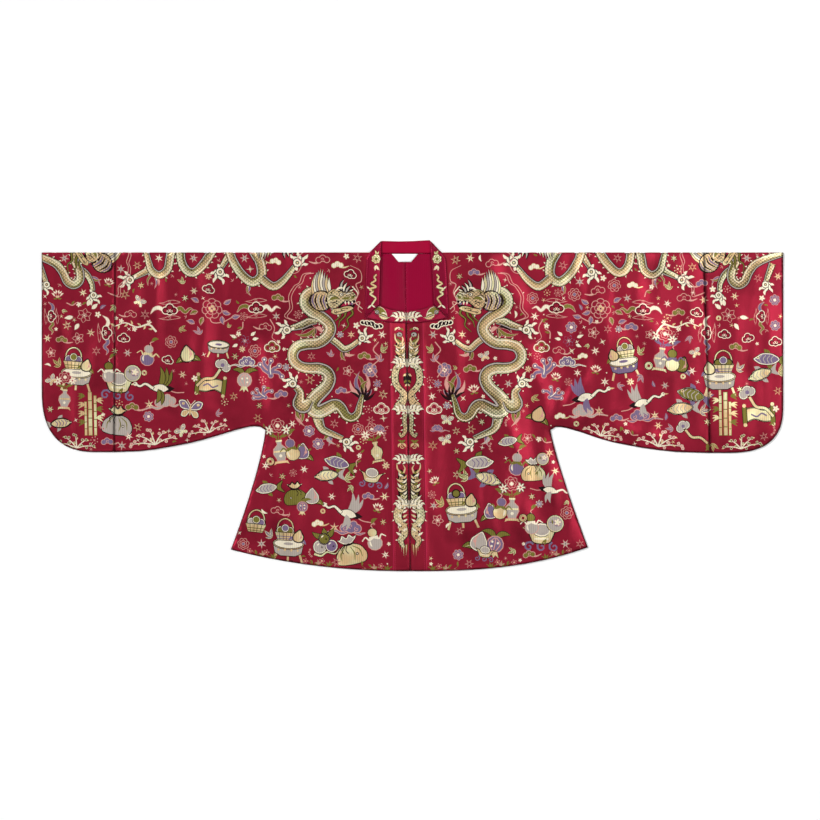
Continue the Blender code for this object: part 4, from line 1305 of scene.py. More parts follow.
def peony_spray():
    """A full peony among ribbed leaves on a bent stem."""
    drawn = bent("pink", 2.0, [-46-18j, -22-30j, 0-30j, 6-14j])
    violet, green = (
        rimmed(leaf(-10j, 10j, 11, 0.1), thread, "pink", 1.2) + straight("pink", 0.9, [-9j, 7j])
        for thread in ("lavender", "olive")
    )
    drawn += placed(
        (violet, -34+16j, 60), (violet, 38+18j, -60), (green, 40-10j, -110), (violet, -32-8j, 110),
        (violet, -24-26j, 170), (green, 22-28j, 200), (violet, -52-16j, 80), (violet, 48-30j, -70),
    )
    return drawn + put(peony(), size=1.12)


def petal_star(petal="cream", rim="pink"):
    """An open star of lines with four long loose petals."""
    loose = leaves(petal, *((tip * 0.55, tip, 9) for tip in (-30+26j, -14+38j, 44-6j, 22-32j)))
    return petals(6, 17, 11, "ground", rim, 12, 1.0) + loose + sparkle("cream", 6, 8, 1.6)


def placket_welt():
    line = PLACKET + 1j * np.linspace(-372, 190, 60)
    # the light crimson line along the welt's crest is a painted highlight
    return [("ground", stroke(line, 7)), ("bright", stroke(line, 2.4)), ("ground", stroke(line - 2.2, 0.6))]


def collar_figures(name, side):
    """What lies on a side's two collar strips: a winding dragon, a flower at the shoulder, curls at the mitre."""
    sign = side["sign"]
    table = np.array(COLLAR_SIDE[name])
    middle = (table[1, 0] + table[1, 2]) / 2
    wave = curve([-9+288j, -4+282j, -7+275j, 3+268j, -8+261j, 6+256j, -1+250j, 5+245j, -7+236j, -2+227j, 2+220j])
    drawn = [("dark", stroke(wave, 5.0, 6.0, 4.6)), ("gold", stroke(wave, 3.0, 4.2, 3.0))]
    drawn += leaves("cream", (6+256j, 13+262j, 3.4), (2+221j, 11+213j, 4), (2+221j, -8+214j, 3.4))
    drawn += dots("olive", 2.4, 7, -1+253j)
    drawn += placed(
        (rose("gold", "dark", "olive"), -8+322j, 0, 0.5), (leaf_spray("gold", "olive", 2, 12, 5), -8+331j, 10),
        (leaf_spray("gold", "cream", 2, 14, 6), -9+308j, 170),
    )
    at_side = [(thread, middle + sign * line.real + 1j * line.imag) for thread, line in drawn]
    drawn = [("bright", np.array([2+1j, 15+13j, 30-1j, 26-6j, 6-3j]))]
    drawn += rimmed(leaf(18+21j, 50+1j, 17, 0.12), "olive", "cream", 1.0)
    drawn += rimmed(leaf(30+7j, 57+3j, 7, -0.2), "gold", "dark", 0.8)
    drawn += rimmed(disc(27+13j, 5.5, sides=9), "grey", "dark", 1.0) + curls("dark", (27+13j, 4, 200, 1.2, 1.3))
    drawn += leaves("cream", (36+11j, 48+6j, 3.4, 0.2)) + leaves("dark", (33+7j, 45+2j, 1.6))
    corner = table[0, 0] + 1j * table[0, 1]
    at_front = [(thread, corner - sign * line.real + 1j * line.imag) for thread, line in drawn]
    y = (COLLAR_CENTRE_INNER_Y + COLLAR_CENTRE_OUTER_Y) / 2 - 1
    at_front += [(thread, centre_x(y) + sign * line.real + 1j * line.imag) for thread, line in star_band(y)]
    return at_side, at_front


def along_hem(side):
    """Blossoming twigs that follow the skirt's and the sleeve's lower edges."""
    drawn = []
    for first, last in ((0.1, 0.27), (0.43, 0.57), (0.74, 0.88)):
        line = hem(side, np.linspace(first, last, 6), 0)
        line = (line.real - centre_x(line.imag)) * side["sign"] + 1j * line.imag
        drawn += twig(line + 1j * (6 + 4 * np.cos(np.arange(6) * 2.4)), 1.2, "olive", "olive", "bright", 13)
        for k, at in enumerate(line[1:-1:2]):
            drawn += put(leaf_spray("olive", ("olive", "pink")[k % 2], 3, 12, 4.0), at + 3j, 20 - 26 * k)
    reach = side["seam_x_at_bottom"] - side["armpit_x"]
    for share, turn, size, bud in ((0.34, -14, 0.8, "pink"), (0.7, -9, 0.95, "pink"), (1.22, 6, 0.8, "olive")):
        foot = underarm(side, np.array([side["armpit_x"] + reach * share]))[0]
        drawn += put(sprig("cream", bud), foot + 9j, turn, size)
    return drawn


def string_of_discs():
    """A short row of dark discs on a wavy string."""
    discs = [
        disc(x + 2j * math.cos(0.9 * x), r, 0.72)
        for x, r in ((-20, 5.5), (-11, 6.5), (-1, 7.0), (9, 6.5), (18, 5.0))
    ]
    dashes = leaves("cream", *((at - 3 - 4j, at + 3 + 4j, 2.6) for at in (-18+1j, -9-1j, 1j, 9, 17+1j)))
    return blob(discs, "dark", "cream", 2.2) + dashes


def key_figures(side, on_back):
    """The figures with a place of their own, as distance out from the centre line and height."""
    branch = twig([-46+14j, -30+30j, -4+24j, 22+34j, 46+26j], 3.2, "cream", "gold", "cream", 10)
    drawn = along_hem(side) + placed(
        (cloud_row("olive", "cream"), 520+210j), (cloud_row("cream", "olive"), 330+214j),
        (peony_spray(), 427+213j), (petal_star(), 708+198j), (petal_star("cream", "lavender"), 356+142j, 30, 0.8),
        (cloud_row("lavender", "cream"), 660+160j, 90, 0.9), (cloud_row("olive", "lavender"), 780+196j, 90, 0.75),
        (bamboo(96), 694-66j), (coral(), 300+66j, 10, 1.15), (coral(), 312+18j, -40, 0.9), (branch, 596+148j),
        (cloud("lavender", "cream"), 352+96j, 0, 0.9), (ruyi("olive", "cream"), 296+128j),
        (string_of_discs(), 78+179j, 16), (peony("lavender", "pink", "cream"), 82+78j, 0, 0.8),
        (leaf_spray("lavender", "pink"), 64+98j, 20),
    )
    drawn += bent("pink", 2.4, [62+140j, 74+122j, 60+104j, 78+84j, 66+62j])
    drawn += placed(
        (leaf_spray("olive", "gold"), 58+122j, 60), (daisy("lavender", "pink"), 66+48j, 0, 1.1),
        (ruyi("pink", "cream"), 58-8j), (cloud("lavender", "pink"), 64-50j, 0, 0.6),
    )
    drawn += bent("cream", (2.6, 1), [118+262j, 106+246j, 112+228j, 96+212j])
    drawn += bent("pink", (2.2, 1), [300+190j, 290+170j, 296+150j, 284+140j])
    if not on_back:
        drawn += placket_welt() + twined() + crest(150, 96) + fading() + crest(-134, -214)
        drawn += [part for y in (92, -11, -120, -219) for part in star_band(y)]
        drawn += rimmed(disc(16+156j, 7.4, 0.85), "grey", "dark", 1.4) + leaves("dark", (13+154j, 17+158j, 3.2))
        drawn += leaves("olive", (12+151j, 22+152j, 2.2), (7+164j, 17+169j, 4.4, 0.2))
        drawn += leaves("gold", (26+165j, 16+171j, 4.4, -0.2)) + curls("cream", (17+169j, 4, 0, 1.0, 1.4))
        pair = leaves("olive", (0, 9+8j, 5, 0.2)) + leaves("gold", (0, 9-8j, 5, 0.2))
        drawn += placed((pair, 14-84j), (put(pair, mirror=True), 14-84j)) + curls("gold", (14-90j, 5, 200, 1.1, 1.8))
    return drawn + great_dragon() + shoulder_dragon() + cuff_dragon()


CELL = 4.0  # of the grid that tells where figures already lie
FIELD_LOW = -370.0  # the height of its lower edge
COLUMNS, ROWS = 212, 184
FIELD = (np.arange(COLUMNS) + 0.5) * CELL + 1j * ((np.arange(ROWS)[:, None] + 0.5) * CELL + FIELD_LOW)


def half_outline(side):
    """One layer of a half with its further sleeve piece, as distance out and height."""
    line = np.concatenate((body_edge(side, 0)[:-2], sleeve_corner(side), [side["sign"] * SPAN / 2 + 1j * SHOULDER_Y]))
    line = np.append(line, centre_x(SHOULDER_Y) + 1j * SHOULDER_Y)
    return (line.real - centre_x(line.imag)) * side["sign"] + 1j * line.imag


def mark(taken, lines):
    """Notes the cells of the field that closed lines cover."""
    for line in lines:
        low = np.clip((line.real.min() / CELL, (line.imag.min() - FIELD_LOW) / CELL), 0, None).astype(int)
        high = (int(line.real.max() / CELL) + 1, int((line.imag.max() - FIELD_LOW) / CELL) + 1)
        part = (slice(low[1], max(high[1], 0)), slice(low[0], max(high[0], 0)))
        some = FIELD[part]
        if some.size:
            taken[part] |= winding(some.ravel(), line).reshape(some.shape) != 0


def scatter(taken, draw, radius, share, makers, high=math.inf):
    """Fills free room, in an order drawn at random, with figures that each take a round of that radius."""
    reach = int(radius / CELL)
    offsets = np.arange(-reach, reach + 1)
    kernel = np.hypot(offsets[:, None], offsets[None, :]) * CELL <= radius
    rows, columns = taken.shape
    drawn, deck = [], []
    for cell in draw.permutation(rows * columns):
        r, c = divmod(int(cell), columns)
        at = FIELD[r, c]
        if taken[r, c] or at.imag >= high:
            continue
        part = taken[max(r - reach, 0) : r + reach + 1, max(c - reach, 0) : c + reach + 1]
        disc_part = kernel[max(reach - r, 0) :, max(reach - c, 0) :][: part.shape[0], : part.shape[1]]
        if (part & disc_part).any():
            continue
        part |= disc_part
        if draw.random() < share:
            deck = deck or list(draw.permutation(len(makers)))
            drawing, turn, size = makers[int(deck.pop())]
            turned, sized = float(draw.uniform(-turn, turn)), size * float(draw.uniform(0.9, 1.08))
            drawn += put(drawing, at, turned, sized, bool(draw.integers(2)))
    return drawn


def heaps():
    """Groups of lucky things, each as (drawing, widest turn either way, size)."""
    swap = {"lavender": "grey", "grey": "lavender"}
    warm = {"grey": "olive", "lavender": "grey", "olive": "lavender"}
    groups = [
        [
            (peach("grey"), 40-16j, -12, 1.5), (vase("lavender"), -14-2j, 0, 1.75),
            (gourd("grey", "gold", "olive"), 16-6j, 8, 1.5), (coin(), -42-26j, 0, 1.3),
        ],
        [
            (drum("lavender"), -22j, 0, 1.9), (basket("grey"), -9+10j, 0, 1.4), (peach("gold"), 22+2j, -10, 1.1),
            (leaf_spray("olive", "gold"), -38+4j, 60, 1.2),
        ],
        [
            (cloud("lavender", "pink"), -6-24j, 0, 1.2), (crane("cream", "grey"), 2+4j, 8, 1.75),
            (field_star("gold"), 30-26j, 0, 1.1),
        ],
        [
            (fish("grey"), -10+16j, 12, 1.8), (fish("gold", "lavender"), 10-18j, -10, 1.7),
            (leaf_spray("olive", "gold"), -34-14j, 80, 1.3),
        ],
        [(pomegranate("lavender"), -24-2j, 0, 1.8), (peach("grey"), 16-8j, 10, 1.8), (ingot("gold"), -2-26j, 0, 1.2)],
        [(scroll_roll("gold"), -14j, -8, 2.0), (sceptre("grey"), 2+12j, 12, 1.7), (plum("cream"), -38+6j, 0, 1.2)],
        [
            (ingot("gold", "grey"), -14j, 0, 2.1), (fan("grey"), 32+14j, -30, 1.4),
            (gourd("olive", "grey", "cream"), -24+10j, 6, 1.3),
        ],
        [
            (gourd("grey", "lavender", "olive"), -28+6j, -6, 1.5), (lucky_bag(), 12-8j, 0, 1.25),
            (fan("grey"), 38+20j, -25, 1.1),
        ],
        [
            (lucky_bag("olive", "gold", "dark"), -18+4j, 8, 1.15), (peach("grey"), 22-4j, 0, 1.4),
            (pomegranate("lavender"), 0-24j, 0, 1.1),
        ],
        [
            (lantern("grey"), -26+8j, 0, 1.8), (basket("olive"), 14-14j, 0, 1.9),
            (butterfly("lavender", "gold"), 22+28j, 20, 1.1),
        ],
    ]
    groups = [placed(*group) for group in groups]
    kinds = groups + [recolour(group, **change) for change in (swap, warm) for group in groups[:4]]
    return [(group, 9, 0.95) for group in kinds]


def treasures():
    """Single lucky things: each as (drawing, widest turn either way, size)."""
    things = [
        gourd(), peach(), pomegranate("grey"), fruits(), ingot(), vase("grey"), lantern(), fan(), fish(), crane(),
        sceptre(), basket(), drum("grey"), butterfly("lavender", "gold"), bat("grey", "gold"),
        gourd("gold", "grey", "cream"), peach("gold"), vase("gold"), fish("gold", "grey"), lucky_bag(),
        lucky_bag("grey", "gold"),
    ]
    return [(thing, 16, 1.35) for thing in things]


def fillers():
    """Mid-sized, small and tiny figures for the room between."""
    middle = [
        (small_cloud("olive", "pink"), 12, 1.15), (small_cloud("lavender", "pink"), 12, 1.15),
        (small_cloud("ground", "pink"), 12, 1.2), (small_cloud("cream", "gold"), 12, 1.0),
        (rose("ground", "pink", "lavender"), 180, 0.66), (rose("lavender", "pink", "cream"), 180, 0.6),
        (lotus(), 30, 0.72), (leaf_spray("olive", "gold"), 180, 0.95), (leaf_spray("lavender", "pink"), 180, 0.95),
        (butterfly("grey", "gold"), 40, 0.7), (twig([-16-4j, -4+3j, 8-2j, 18+5j], 1.8, "pink", "olive"), 180, 1.0),
        (ruyi("dark", "cream"), 20, 0.8), (petals(5, 13, 9, "ground", "pink") + sparkle("cream", 5, 6), 180, 1.0),
    ]
    small = [
        (daisy("gold", "pink"), 180, 0.9), (daisy("lavender", "cream"), 180, 0.9),
        (daisy("ground", "pink"), 180, 1.0), (plum("cream", "pink"), 180, 1.05), (ring_star("pink"), 180, 0.95),
        (ring_star("gold"), 180, 0.95), (coin(), 180, 0.8), (beads([-8, 0+4j, 8], "pink"), 180, 0.95),
        (leaf_spray("olive", "gold", 2, 14, 6), 180, 0.9),
        ([("lavender", leaf(-8, 8, 7, 0.12)), ("pink", leaf(-7, 7, 1.4, 0.12))], 180, 1.0),
        ([("cream", leaf(-8, 8, 5, 0.2))], 180, 1.0),
        (sparkle("cream", 4, 9, 2.4) + sparkle("gold", 4, 5, 1.6, 45), 45, 1.0),
    ]
    tiny = [
        (sparkle("cream", 4, 6, 1.9), 45, 1.0), (sparkle("gold", 5, 6, 2.0), 180, 1.0),
        (plum("cream", "pink"), 180, 0.62), (sparkle("pink", 6, 5.5, 1.6), 180, 1.0),
        ([("olive", leaf(-5, 5, 4, 0.15))], 180, 1.0), ([("cream", disc(0, 1.5, sides=7))], 0, 1.0),
        ([("pink", leaf(-6, 6, 1.6, 0.2)), ("pink", leaf(-4j, 4j, 1.4))], 180, 1.0),
    ]
    stars = [
        (field_star(fill, rim), 30, 1.0)
        for fill, rim in (
            ("gold", "dark"), ("gold", "pink"), ("cream", "pink"), ("ground", "gold"), ("grey", "pink"),
            ("ground", "pink"),
        )
    ]
    return middle, stars, small, tiny


# What is scattered, the largest first: the room for each, the shares drawn on front and back, the upper end.
LARGE = ((45, 1.0, 1.0, 116), (28, 0.9, 0.7, 130))
FINE = ((17.5, 0.9, 0.7), (13, 0.85, 0.6), (9.5, 0.4, 0.3), (6.3, 0.35, 0.15))
HALO_LEAST = 150.0  # a shape of this area has a dark line about it


def half_figures(side, seed):
    """All figures of one half, front and back, as distance out and height before folding."""
    outside = winding(FIELD.ravel(), half_outline(side)).reshape(FIELD.shape) == 0
    layers = []
    for on_back in (False, True):
        draw = np.random.default_rng(seed + on_back)
        key = key_figures(side, on_back)
        if on_back:
            key = [(thread, line) for thread, line in key if line.imag.max() < FOLD_Y]
            hang = [to_back(line) for _, line in layers[0] if line.imag.max() > FOLD_Y]
        else:
            hang = [np.array([-9+196j, 92+196j, 92+400j, -9+400j]), np.array([-9-400j, 39-400j, 39+400j, -9+400j])]
        taken = outside.copy()
        mark(taken, [line for _, line in key] + hang)
        free = []
        for makers, (radius, *shares, high) in zip((heaps(), treasures()), LARGE):
            free += scatter(taken, draw, radius, shares[on_back], makers, high)
        if not on_back:
            free = haloed(free, HALO_LEAST)
        for makers, (radius, *shares) in zip(fillers(), FINE):
            free += scatter(taken, draw, radius, shares[on_back], makers)
        layers.append(free + key)
    return [(thread, to_back(line)) for thread, line in layers[1]] + layers[0]


def lay_on(side, drawing):
    """From distance out from the centre line to the jacket's frame."""
    laid = []
    for thread, line in drawing:
        y = np.where(line.imag > (FOLD_Y + BACK_V / 2) / 2, BACK_V - line.imag, line.imag)
        laid.append((thread, centre_x(y) + side["sign"] * line.real + 1j * line.imag))
    return laid


# ---------------------------------------------------------------- finishes


class Socket:
    """An output in a finish's node tree. Arithmetic on it adds Math nodes."""

    def __init__(self, finish, out):
        self.finish, self.out = finish, out

    def math(self, operation, *values):
        return self.finish.node("ShaderNodeMath", {"operation": operation}, dict(enumerate(values)))

    def __add__(self, other):
        return self.math("ADD", self, other)

    def __sub__(self, other):
        return self.math("SUBTRACT", self, other)

    def __rsub__(self, other):
        return self.math("SUBTRACT", other, self)

    def __mul__(self, other):
        return self.math("MULTIPLY", self, other)

    __radd__, __rmul__ = __add__, __mul__


class Finish:
    """A material and the tools to build its nodes."""

    def __init__(self, name, **constants):
        self.material = bpy.data.materials.new(name)
        self.material.use_nodes = True
        self.tree = self.material.node_tree
        self.shader = self.tree.nodes["Principled BSDF"]
        for socket, value in constants.items():
            self.shader.inputs[socket.replace("_", " ")].default_value = value
        self.place = self.node("ShaderNodeTexCoord", output="Object")

    def node(self, kind, settings=None, inputs=None, output=0):
        made = self.tree.nodes.new(kind)
        for key, value in (settings or {}).items():
            setattr(made, key, value)
        for key, value in (inputs or {}).items():
            self.feed(made.inputs[key], value)
        return Socket(self, made.outputs[output])

    def feed(self, socket, value):
        if isinstance(value, Socket):
            self.tree.links.new(value.out, socket)
        else:
            socket.default_value = value

    def noise(self, scale, detail=2.0):
        return self.node("ShaderNodeTexNoise", None, {"Vector": self.place, "Scale": scale, "Detail": detail})

    def blend(self, factor, a, b):
        return self.node("ShaderNodeMix", {"data_type": "RGBA"}, {"Factor": factor, 6: a, 7: b}, output=2)


BLACK, WHITE = (0.0, 0.0, 0.0, 1.0), (1.0, 1.0, 1.0, 1.0)
SLOW_SCALE, PAINTED_SHEEN_SCALE, FINE_SCALE = 9.0, 17.0, 420.0  # of the noises, in waves to a metre
SWELLS = (7.5, 1.9, 1.0)  # slow swells to a metre, across, up and through
SWELL_LEAN = 0.16
FINE_MOTTLE, NET_NARROWNESS = 0.2, 1.9  # the net is the dark lines between scales
RIB_DEPTH, RIB_STRENGTH = 0.0003, 0.12


def linear(code):
    """A colour from its sRGB hex code."""
    parts = [int(code[k : k + 2], 16) / 255 for k in (1, 3, 5)]
    return (*(c / 12.92 if c <= 0.04045 else ((c + 0.055) / 1.055) ** 2.4 for c in parts), 1.0)


def wave(value, period):
    """A sine wave over a length given in millimetres."""
    turned = value * (2 * math.pi / (period * MM))
    return turned.math("SINE", turned)


def woven(name, code, lines=0.0, mottle_and_painted_shade=0.12, scales=0.0, painted_sheen=None, edge_shade_strength=0.7, rib=0.9, **constants):
    """A silk finish: fine ribs, slow changes of tone that also paint the shade and sheen of folds, patches of painted
    sheen in a second colour, vertical lines of darker weft, and painted shade that darkens its edges.
    """
    finish = Finish(name, **{"Specular_IOR_Level": 0.12, **constants})
    axes = finish.node("ShaderNodeSeparateXYZ", None, {0: finish.place})
    across, up = axes, Socket(finish, axes.out.node.outputs["Y"])
    slow, fine = finish.noise(SLOW_SCALE, 4.0), finish.noise(FINE_SCALE)
    stripes = lines * (0.5 + 0.5 * wave(across, LINE_PERIOD))
    # slow noise lightens and darkens the tone: silk that differs at random, and at the larger settings painted light
    # and shade of folds and of the gold's sheen
    tone = 1 - mottle_and_painted_shade * 2 * (slow - 0.5) - stripes - FINE_MOTTLE * (fine - 0.5)
    if scales:
        slants = [wave(across * 0.8 + up * way, SCALE_PERIOD) for way in (1.0, -1.0)]
        near_line = slants[0].math("MINIMUM", *(slant.math("ABSOLUTE", slant) for slant in slants))
        net = 1 - NET_NARROWNESS * near_line
        tone = tone - scales * net.math("MAXIMUM", net, 0.0)
    # painted shade: the colour darkens towards a piece's edges, where the rolled cloth falls into shade
    edge = finish.node("ShaderNodeAttribute", {"attribute_name": "edge"}, None, output="Fac")
    painted_edge_shade = finish.node(
        "ShaderNodeMapRange",
        {"interpolation_type": "SMOOTHSTEP"},
        {"Value": edge, "From Min": 0.3, "From Max": EDGE_SHADE, "To Min": 1 - edge_shade_strength, "To Max": 1.0},
    )
    colour = linear(code)
    # painted sheen: in noisy patches the colour goes over to a second one, lighter where light would catch the
    # thread, darker in the scale weave with painted shade
    if painted_sheen:
        patches = {"Value": finish.noise(PAINTED_SHEEN_SCALE, 3.0), "From Min": 0.44, "From Max": 0.62}
        colour = finish.blend(finish.node("ShaderNodeMapRange", None, patches), colour, linear(painted_sheen))
    finish.feed(finish.shader.inputs["Base Color"], finish.blend(tone * painted_edge_shade, BLACK, colour))
    finish.feed(finish.shader.inputs["Roughness"], 0.26 + 0.18 * slow + 0.08 * fine)
    hang = finish.node(
        "ShaderNodeMapping", None, {"Vector": finish.place, "Scale": SWELLS, "Rotation": (0, 0, SWELL_LEAN)},
    )
    slack = finish.node("ShaderNodeTexNoise", None, {"Vector": hang, "Scale": 1.0, "Detail": 2.0, "Distortion": 0.4})
    drape = finish.node("ShaderNodeBump", None, {"Height": slack, "Strength": 1.0, "Distance": SLACK})
    grain = 0.5 * wave(up, rib) + 0.5 * wave(across, 0.7 * rib) + fine
    weave = {"Height": grain, "Strength": RIB_STRENGTH, "Distance": RIB_DEPTH, "Normal": drape}
    finish.feed(finish.shader.inputs["Normal"], finish.node("ShaderNodeBump", None, weave))
    return finish.material


# ---------------------------------------------------------------- the jacket

THREADS = {
    # the ground's strong mottle is also painted shade and sheen of soft folds
    "ground": woven("crimson satin ground", "#9C2036", mottle_and_painted_shade=1.0, Metallic=0.65),
    "gold": woven("gold thread", "#F1CD98", lines=0.24, mottle_and_painted_shade=0.6, painted_sheen="#FFF7C2", Metallic=0.6),
    "scales": woven(
        "dragon scale weave", "#F1CD9A", lines=0.2, mottle_and_painted_shade=0.8, scales=0.7, painted_sheen="#FFF8C6", Metallic=0.6,
    ),
    # a darker copy of the scale weave: painted shade along a dragon's belly side; the great dragon's tail is woven in
    # it too
    "shade": woven(
        "shaded scale weave", "#CBAF78", lines=0.3, mottle_and_painted_shade=0.8, scales=0.85, painted_sheen="#A39A58", Metallic=0.6,
    ),
    "cream": woven("cream thread", "#FBEFD4", lines=0.16, Metallic=0.3),
    "grey": woven("grey thread", "#B9ADA3", lines=0.2, Metallic=0.15),
    "lavender": woven("lavender thread", "#7E6A8A", lines=0.2, Metallic=0.15),
    "olive": woven("olive thread", "#857D38", lines=0.3, mottle_and_painted_shade=0.3, Metallic=0.4),
    "dark": woven("dark brown thread", "#1E090C"),
    "pink": woven("rose thread", "#D89C90", lines=0.10, Metallic=0.15),
    # light crimson: a colour of some figures, and the painted highlight on the placket's welt
    "bright": woven("light crimson satin", "#B22646", mottle_and_painted_shade=0.2, Metallic=0.5),
}
COLLAR_SATIN = woven("wine collar satin", "#8E1234", mottle_and_painted_shade=0.14, edge_shade_strength=0.3, Metallic=0.6)
COLLAR_FRONT_SATIN = woven("crimson collar satin", "#A41C3E", mottle_and_painted_shade=0.2, edge_shade_strength=0.3, Metallic=0.6)
STAND_SATIN = woven("collar facing", "#A20A34", mottle_and_painted_shade=0.1, edge_shade_strength=0.3, Specular_IOR_Level=0.06)
LINING_SATIN = woven("plain lining", "#920832", lines=0.08, mottle_and_painted_shade=0.08, edge_shade_strength=0.0, Specular_IOR_Level=0.06)
LABEL_WEAVE = woven("white label weave", "#FFFFFF", mottle_and_painted_shade=0.02, edge_shade_strength=0.0, rib=0.5)


def stitch_tree(thread):
    """Geometry nodes that lay short lengths of thread along a line."""
    tree = bpy.data.node_groups.new("running stitch", "GeometryNodeTree")
    tree.interface.new_socket("Line", in_out="INPUT", socket_type="NodeSocketGeometry")
    for label in STITCH_SIZES:
        tree.interface.new_socket(label, in_out="INPUT", socket_type="NodeSocketFloat")
    tree.interface.new_socket("Stitches", in_out="OUTPUT", socket_type="NodeSocketGeometry")
    ends = tree.nodes.new("NodeGroupInput"), tree.nodes.new("NodeGroupOutput")
    given = {socket.name: socket for socket in ends[0].outputs}

    def node(kind, inputs, output=0, **settings):
        made = tree.nodes.new(kind)
        for key, value in settings.items():
            setattr(made, key, value)
        for key, value in inputs.items():
            if isinstance(value, bpy.types.NodeSocket):
                tree.links.new(value, made.inputs[key])
            else:
                made.inputs[key].default_value = value
        return made.outputs[output]

    line = node("GeometryNodeMeshToCurve", {"Mesh": given["Line"]})
    points = node("GeometryNodeCurveToPoints", {"Curve": line, "Length": given["Spacing"]}, mode="LENGTH")
    turn = points.node.outputs["Rotation"]
    thick = node("ShaderNodeMath", {0: given["Thickness"], 1: 0.5}, operation="MULTIPLY")
    stitch = node("GeometryNodeMeshCylinder", {"Vertices": 6, "Radius": thick, "Depth": given["Stitch length"]})
    uneven = node("FunctionNodeRandomValue", {2: 0.85, 3: 1.12, "Seed": 5}, output=1, data_type="FLOAT")
    laid = node(
        "GeometryNodeInstanceOnPoints", {"Points": points, "Instance": stitch, "Rotation": turn, "Scale": uneven},
    )
    whole = node("GeometryNodeRealizeInstances", {0: laid})
    dressed = node("GeometryNodeSetMaterial", {"Geometry": whole, "Material": thread})
    tree.links.new(dressed, ends[1].inputs[0])
    return tree


STITCH_INSET, WELT_INSET = 2.8, 4.2  # of the stitches, from a strip's edge and from the welt
STITCH_SIZES = {"Spacing": 4.4 * MM, "Stitch length": 2.7 * MM, "Thickness": 0.55 * MM}
RUNNING_STITCH = stitch_tree(woven("crimson sewing thread", "#C22C50", edge_shade_strength=0.0))


def stitch_row(name, at, closed, place, slot):
    """Running stitches along a line on the cloth's outer face."""
    mesh = bpy.data.meshes.new(name)
    last = len(at) if closed else len(at) - 1
    mesh.from_pydata((place(at, 0.0) * MM).tolist(), [(k, (k + 1) % len(at)) for k in range(last)], [])
    made = bpy.data.objects.new(name, mesh)
    bpy.context.scene.collection.objects.link(made)
    sewing = made.modifiers.new("running stitch", "NODES")
    sewing.node_group = RUNNING_STITCH
    for item in RUNNING_STITCH.interface.items_tree:
        if item.name in STITCH_SIZES:
            sewing[item.identifier] = STITCH_SIZES[item.name]
    whole = bpy.data.meshes.new_from_object(made.evaluated_get(bpy.context.evaluated_depsgraph_get()))
    made.modifiers.clear()
    made.data = whole
    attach(made, "root")
    return made


def sewn(name, node, outline, drawing, place, wall, slot, materials, spacing, back_spacing=None, row=None):
    """A cloth piece in its node's place, with running stitches along a row if it has one."""
    made = cloth_piece(name, outline, drawing, place, wall, materials, spacing, back_spacing)
    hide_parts(node)
    stitches = [stitch_row(f"{name}_stitches", *row, place, slot)] if row else []
    float(area_of(outline)) * MM**2


def edge_row(outline):
    """A closed line just inside a strip's edges."""
    return split(inset(outline, STITCH_INSET), FIGURE_STEP), True


def placket_row(side):
    """A line beside the front opening, where its facing is sewn down."""
    y = np.arange(HEM_Y + 2.0, COLLAR_CENTRE_OUTER_Y + 5.0, 6.0)
    return centre_x(y) + side["sign"] * (PLACKET - WELT_INSET) + 1j * y, False


for seed, (name, side) in zip((7, 17), SIDES.items()):
    figures = lay_on(side, half_figures(side, seed))
    for piece, outline in (("body", body_outline(side)), ("sleeve", sleeve_outline(side))):
        low, high = outline.real.min(), outline.real.max()
        here = [(thread, line) for thread, line in figures if line.real.max() > low and line.real.min() < high]
        row = placket_row(side) if piece == "body" else None
        sewn(
            f"{piece}_cloth_{name}", f"{piece}_{name}", outline, here, folded_place, CLOTH, "brocade", THREADS,
            FRONT_SPACING, BACK_SPACING, row,
        )

sewn(
    "collar_stand_cloth", "collar_back", collar_back_outline(), [], flat_place(COLLAR_CLOTH), COLLAR_CLOTH, "collar",
    {"ground": STAND_SATIN}, COLLAR_SPACING,
)
for name, side in SIDES.items():
    at_side, at_front = collar_figures(name, side)
    strips = (
        ("side", collar_side_outline(name), at_side, COLLAR_SATIN),
        ("front", collar_front_outline(name, side), at_front, COLLAR_FRONT_SATIN),
    )
    for strip, outline, drawing, satin in strips:
        sewn(
            f"collar_{strip}_cloth_{name}", f"collar_{strip}_{name}", outline, drawing, collar_place, COLLAR_CLOTH,
            "collar", {**THREADS, "ground": satin}, COLLAR_SPACING, row=edge_row(outline),
        )
    sewn(
        f"lining_cloth_{name}", f"lining_{name}", lining_outline(side), [], flat_place(CLOTH + GAP + LINING_CLOTH),
        LINING_CLOTH, "lining", {"ground": LINING_SATIN}, LINING_SPACING,
    )
sewn(
    "neck_label", "label", label_outline(), [], flat_place(CLOTH + LINING_CLOTH + 2 * GAP + LABEL_CLOTH), LABEL_CLOTH,
    "label", {"ground": LABEL_WEAVE}, LABEL_SPACING,
)


# ---------------------------------------------------------------- floor, light and camera

CAMERA_AT = (-0.0055, -0.00975, 4.26)  # metres; straight above the jacket's middle
LENS, SENSOR = 85, 36  # millimetres
AMBIENT = 0.20


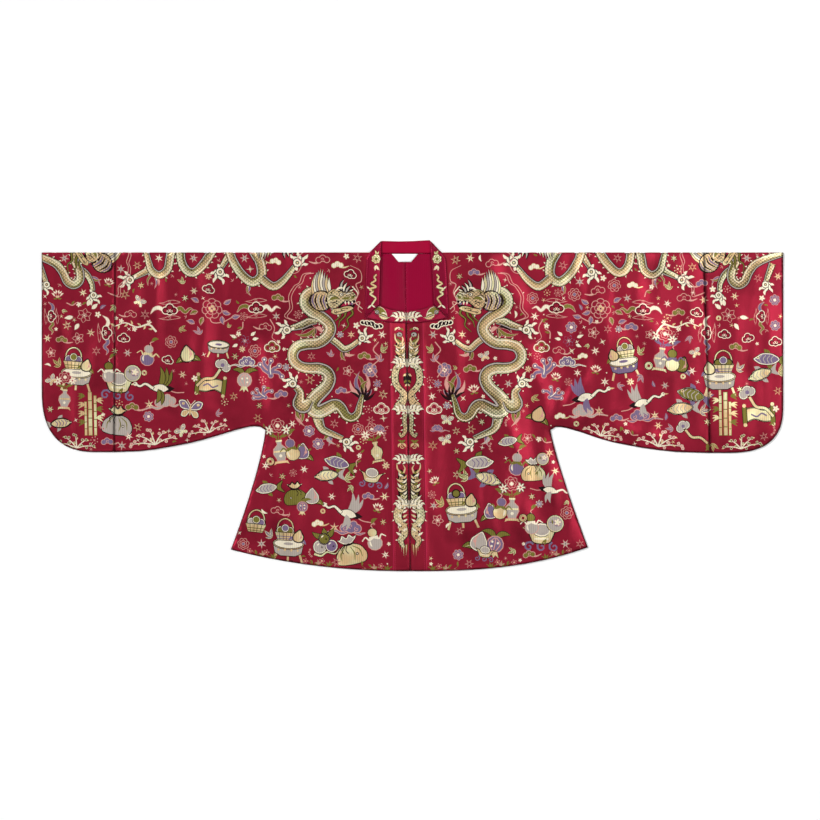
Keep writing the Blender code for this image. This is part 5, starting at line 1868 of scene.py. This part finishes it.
def far_light(name, azimuth, elevation, share, spread):
    """An even light from far off that gives a share of a level surface's brightness."""
    a, e = math.radians(azimuth), math.radians(elevation)
    towards = Vector((math.sin(a) * math.cos(e), math.cos(a) * math.cos(e), math.sin(e)))
    lamp = bpy.data.lights.new(name, "SUN")
    lamp.energy, lamp.angle = share * math.pi / math.sin(e), math.radians(spread)
    made = bpy.data.objects.new(name, lamp)
    made.rotation_euler = (-towards).to_track_quat("-Z", "Y").to_euler()
    bpy.context.scene.collection.objects.link(made)


def softbox(name, at, aim, size, power):
    lamp = bpy.data.lights.new(name, "AREA")
    lamp.energy, lamp.size = power, size
    made = bpy.data.objects.new(name, lamp)
    made.location = at
    made.rotation_euler = (Vector(aim) - Vector(at)).to_track_quat("-Z", "Y").to_euler()
    bpy.context.scene.collection.objects.link(made)


def floor():
    mesh = bpy.data.meshes.new("floor")
    mesh.from_pydata([(x, y, 0) for x, y in ((-6, -6), (6, -6), (6, 6), (-6, 6))], [], [(0, 1, 2, 3)])
    finish = Finish("plain white floor", Roughness=0.9)
    tone = 0.97 + 0.01 * finish.noise(3.0)
    finish.feed(finish.shader.inputs["Base Color"], finish.blend(tone, BLACK, WHITE))
    mesh.materials.append(finish.material)
    made = bpy.data.objects.new("floor", mesh)
    bpy.context.scene.collection.objects.link(made)


floor()
far_light("key", -58, 30, 0.44, 12)
far_light("sheen", 66, 60, 0.20, 9)
far_light("side fill", 80, 40, 0.10, 20)
far_light("low fill", 190, 50, 0.10, 30)
softbox("softbox", (0.88, 0.42, 0.85), (0.42, 0.16, 0), 0.6, 0.85)
world = bpy.data.worlds.new("studio")
world.use_nodes = True
world.node_tree.nodes["Background"].inputs["Color"].default_value = WHITE
world.node_tree.nodes["Background"].inputs["Strength"].default_value = AMBIENT
bpy.context.scene.world = world
bpy.context.scene.view_settings.view_transform = "Standard"

camera = bpy.data.objects.new("camera", bpy.data.cameras.new("camera"))
camera.data.lens, camera.data.sensor_width = LENS, SENSOR
camera.location = CAMERA_AT
bpy.context.scene.collection.objects.link(camera)
bpy.context.scene.camera = camera
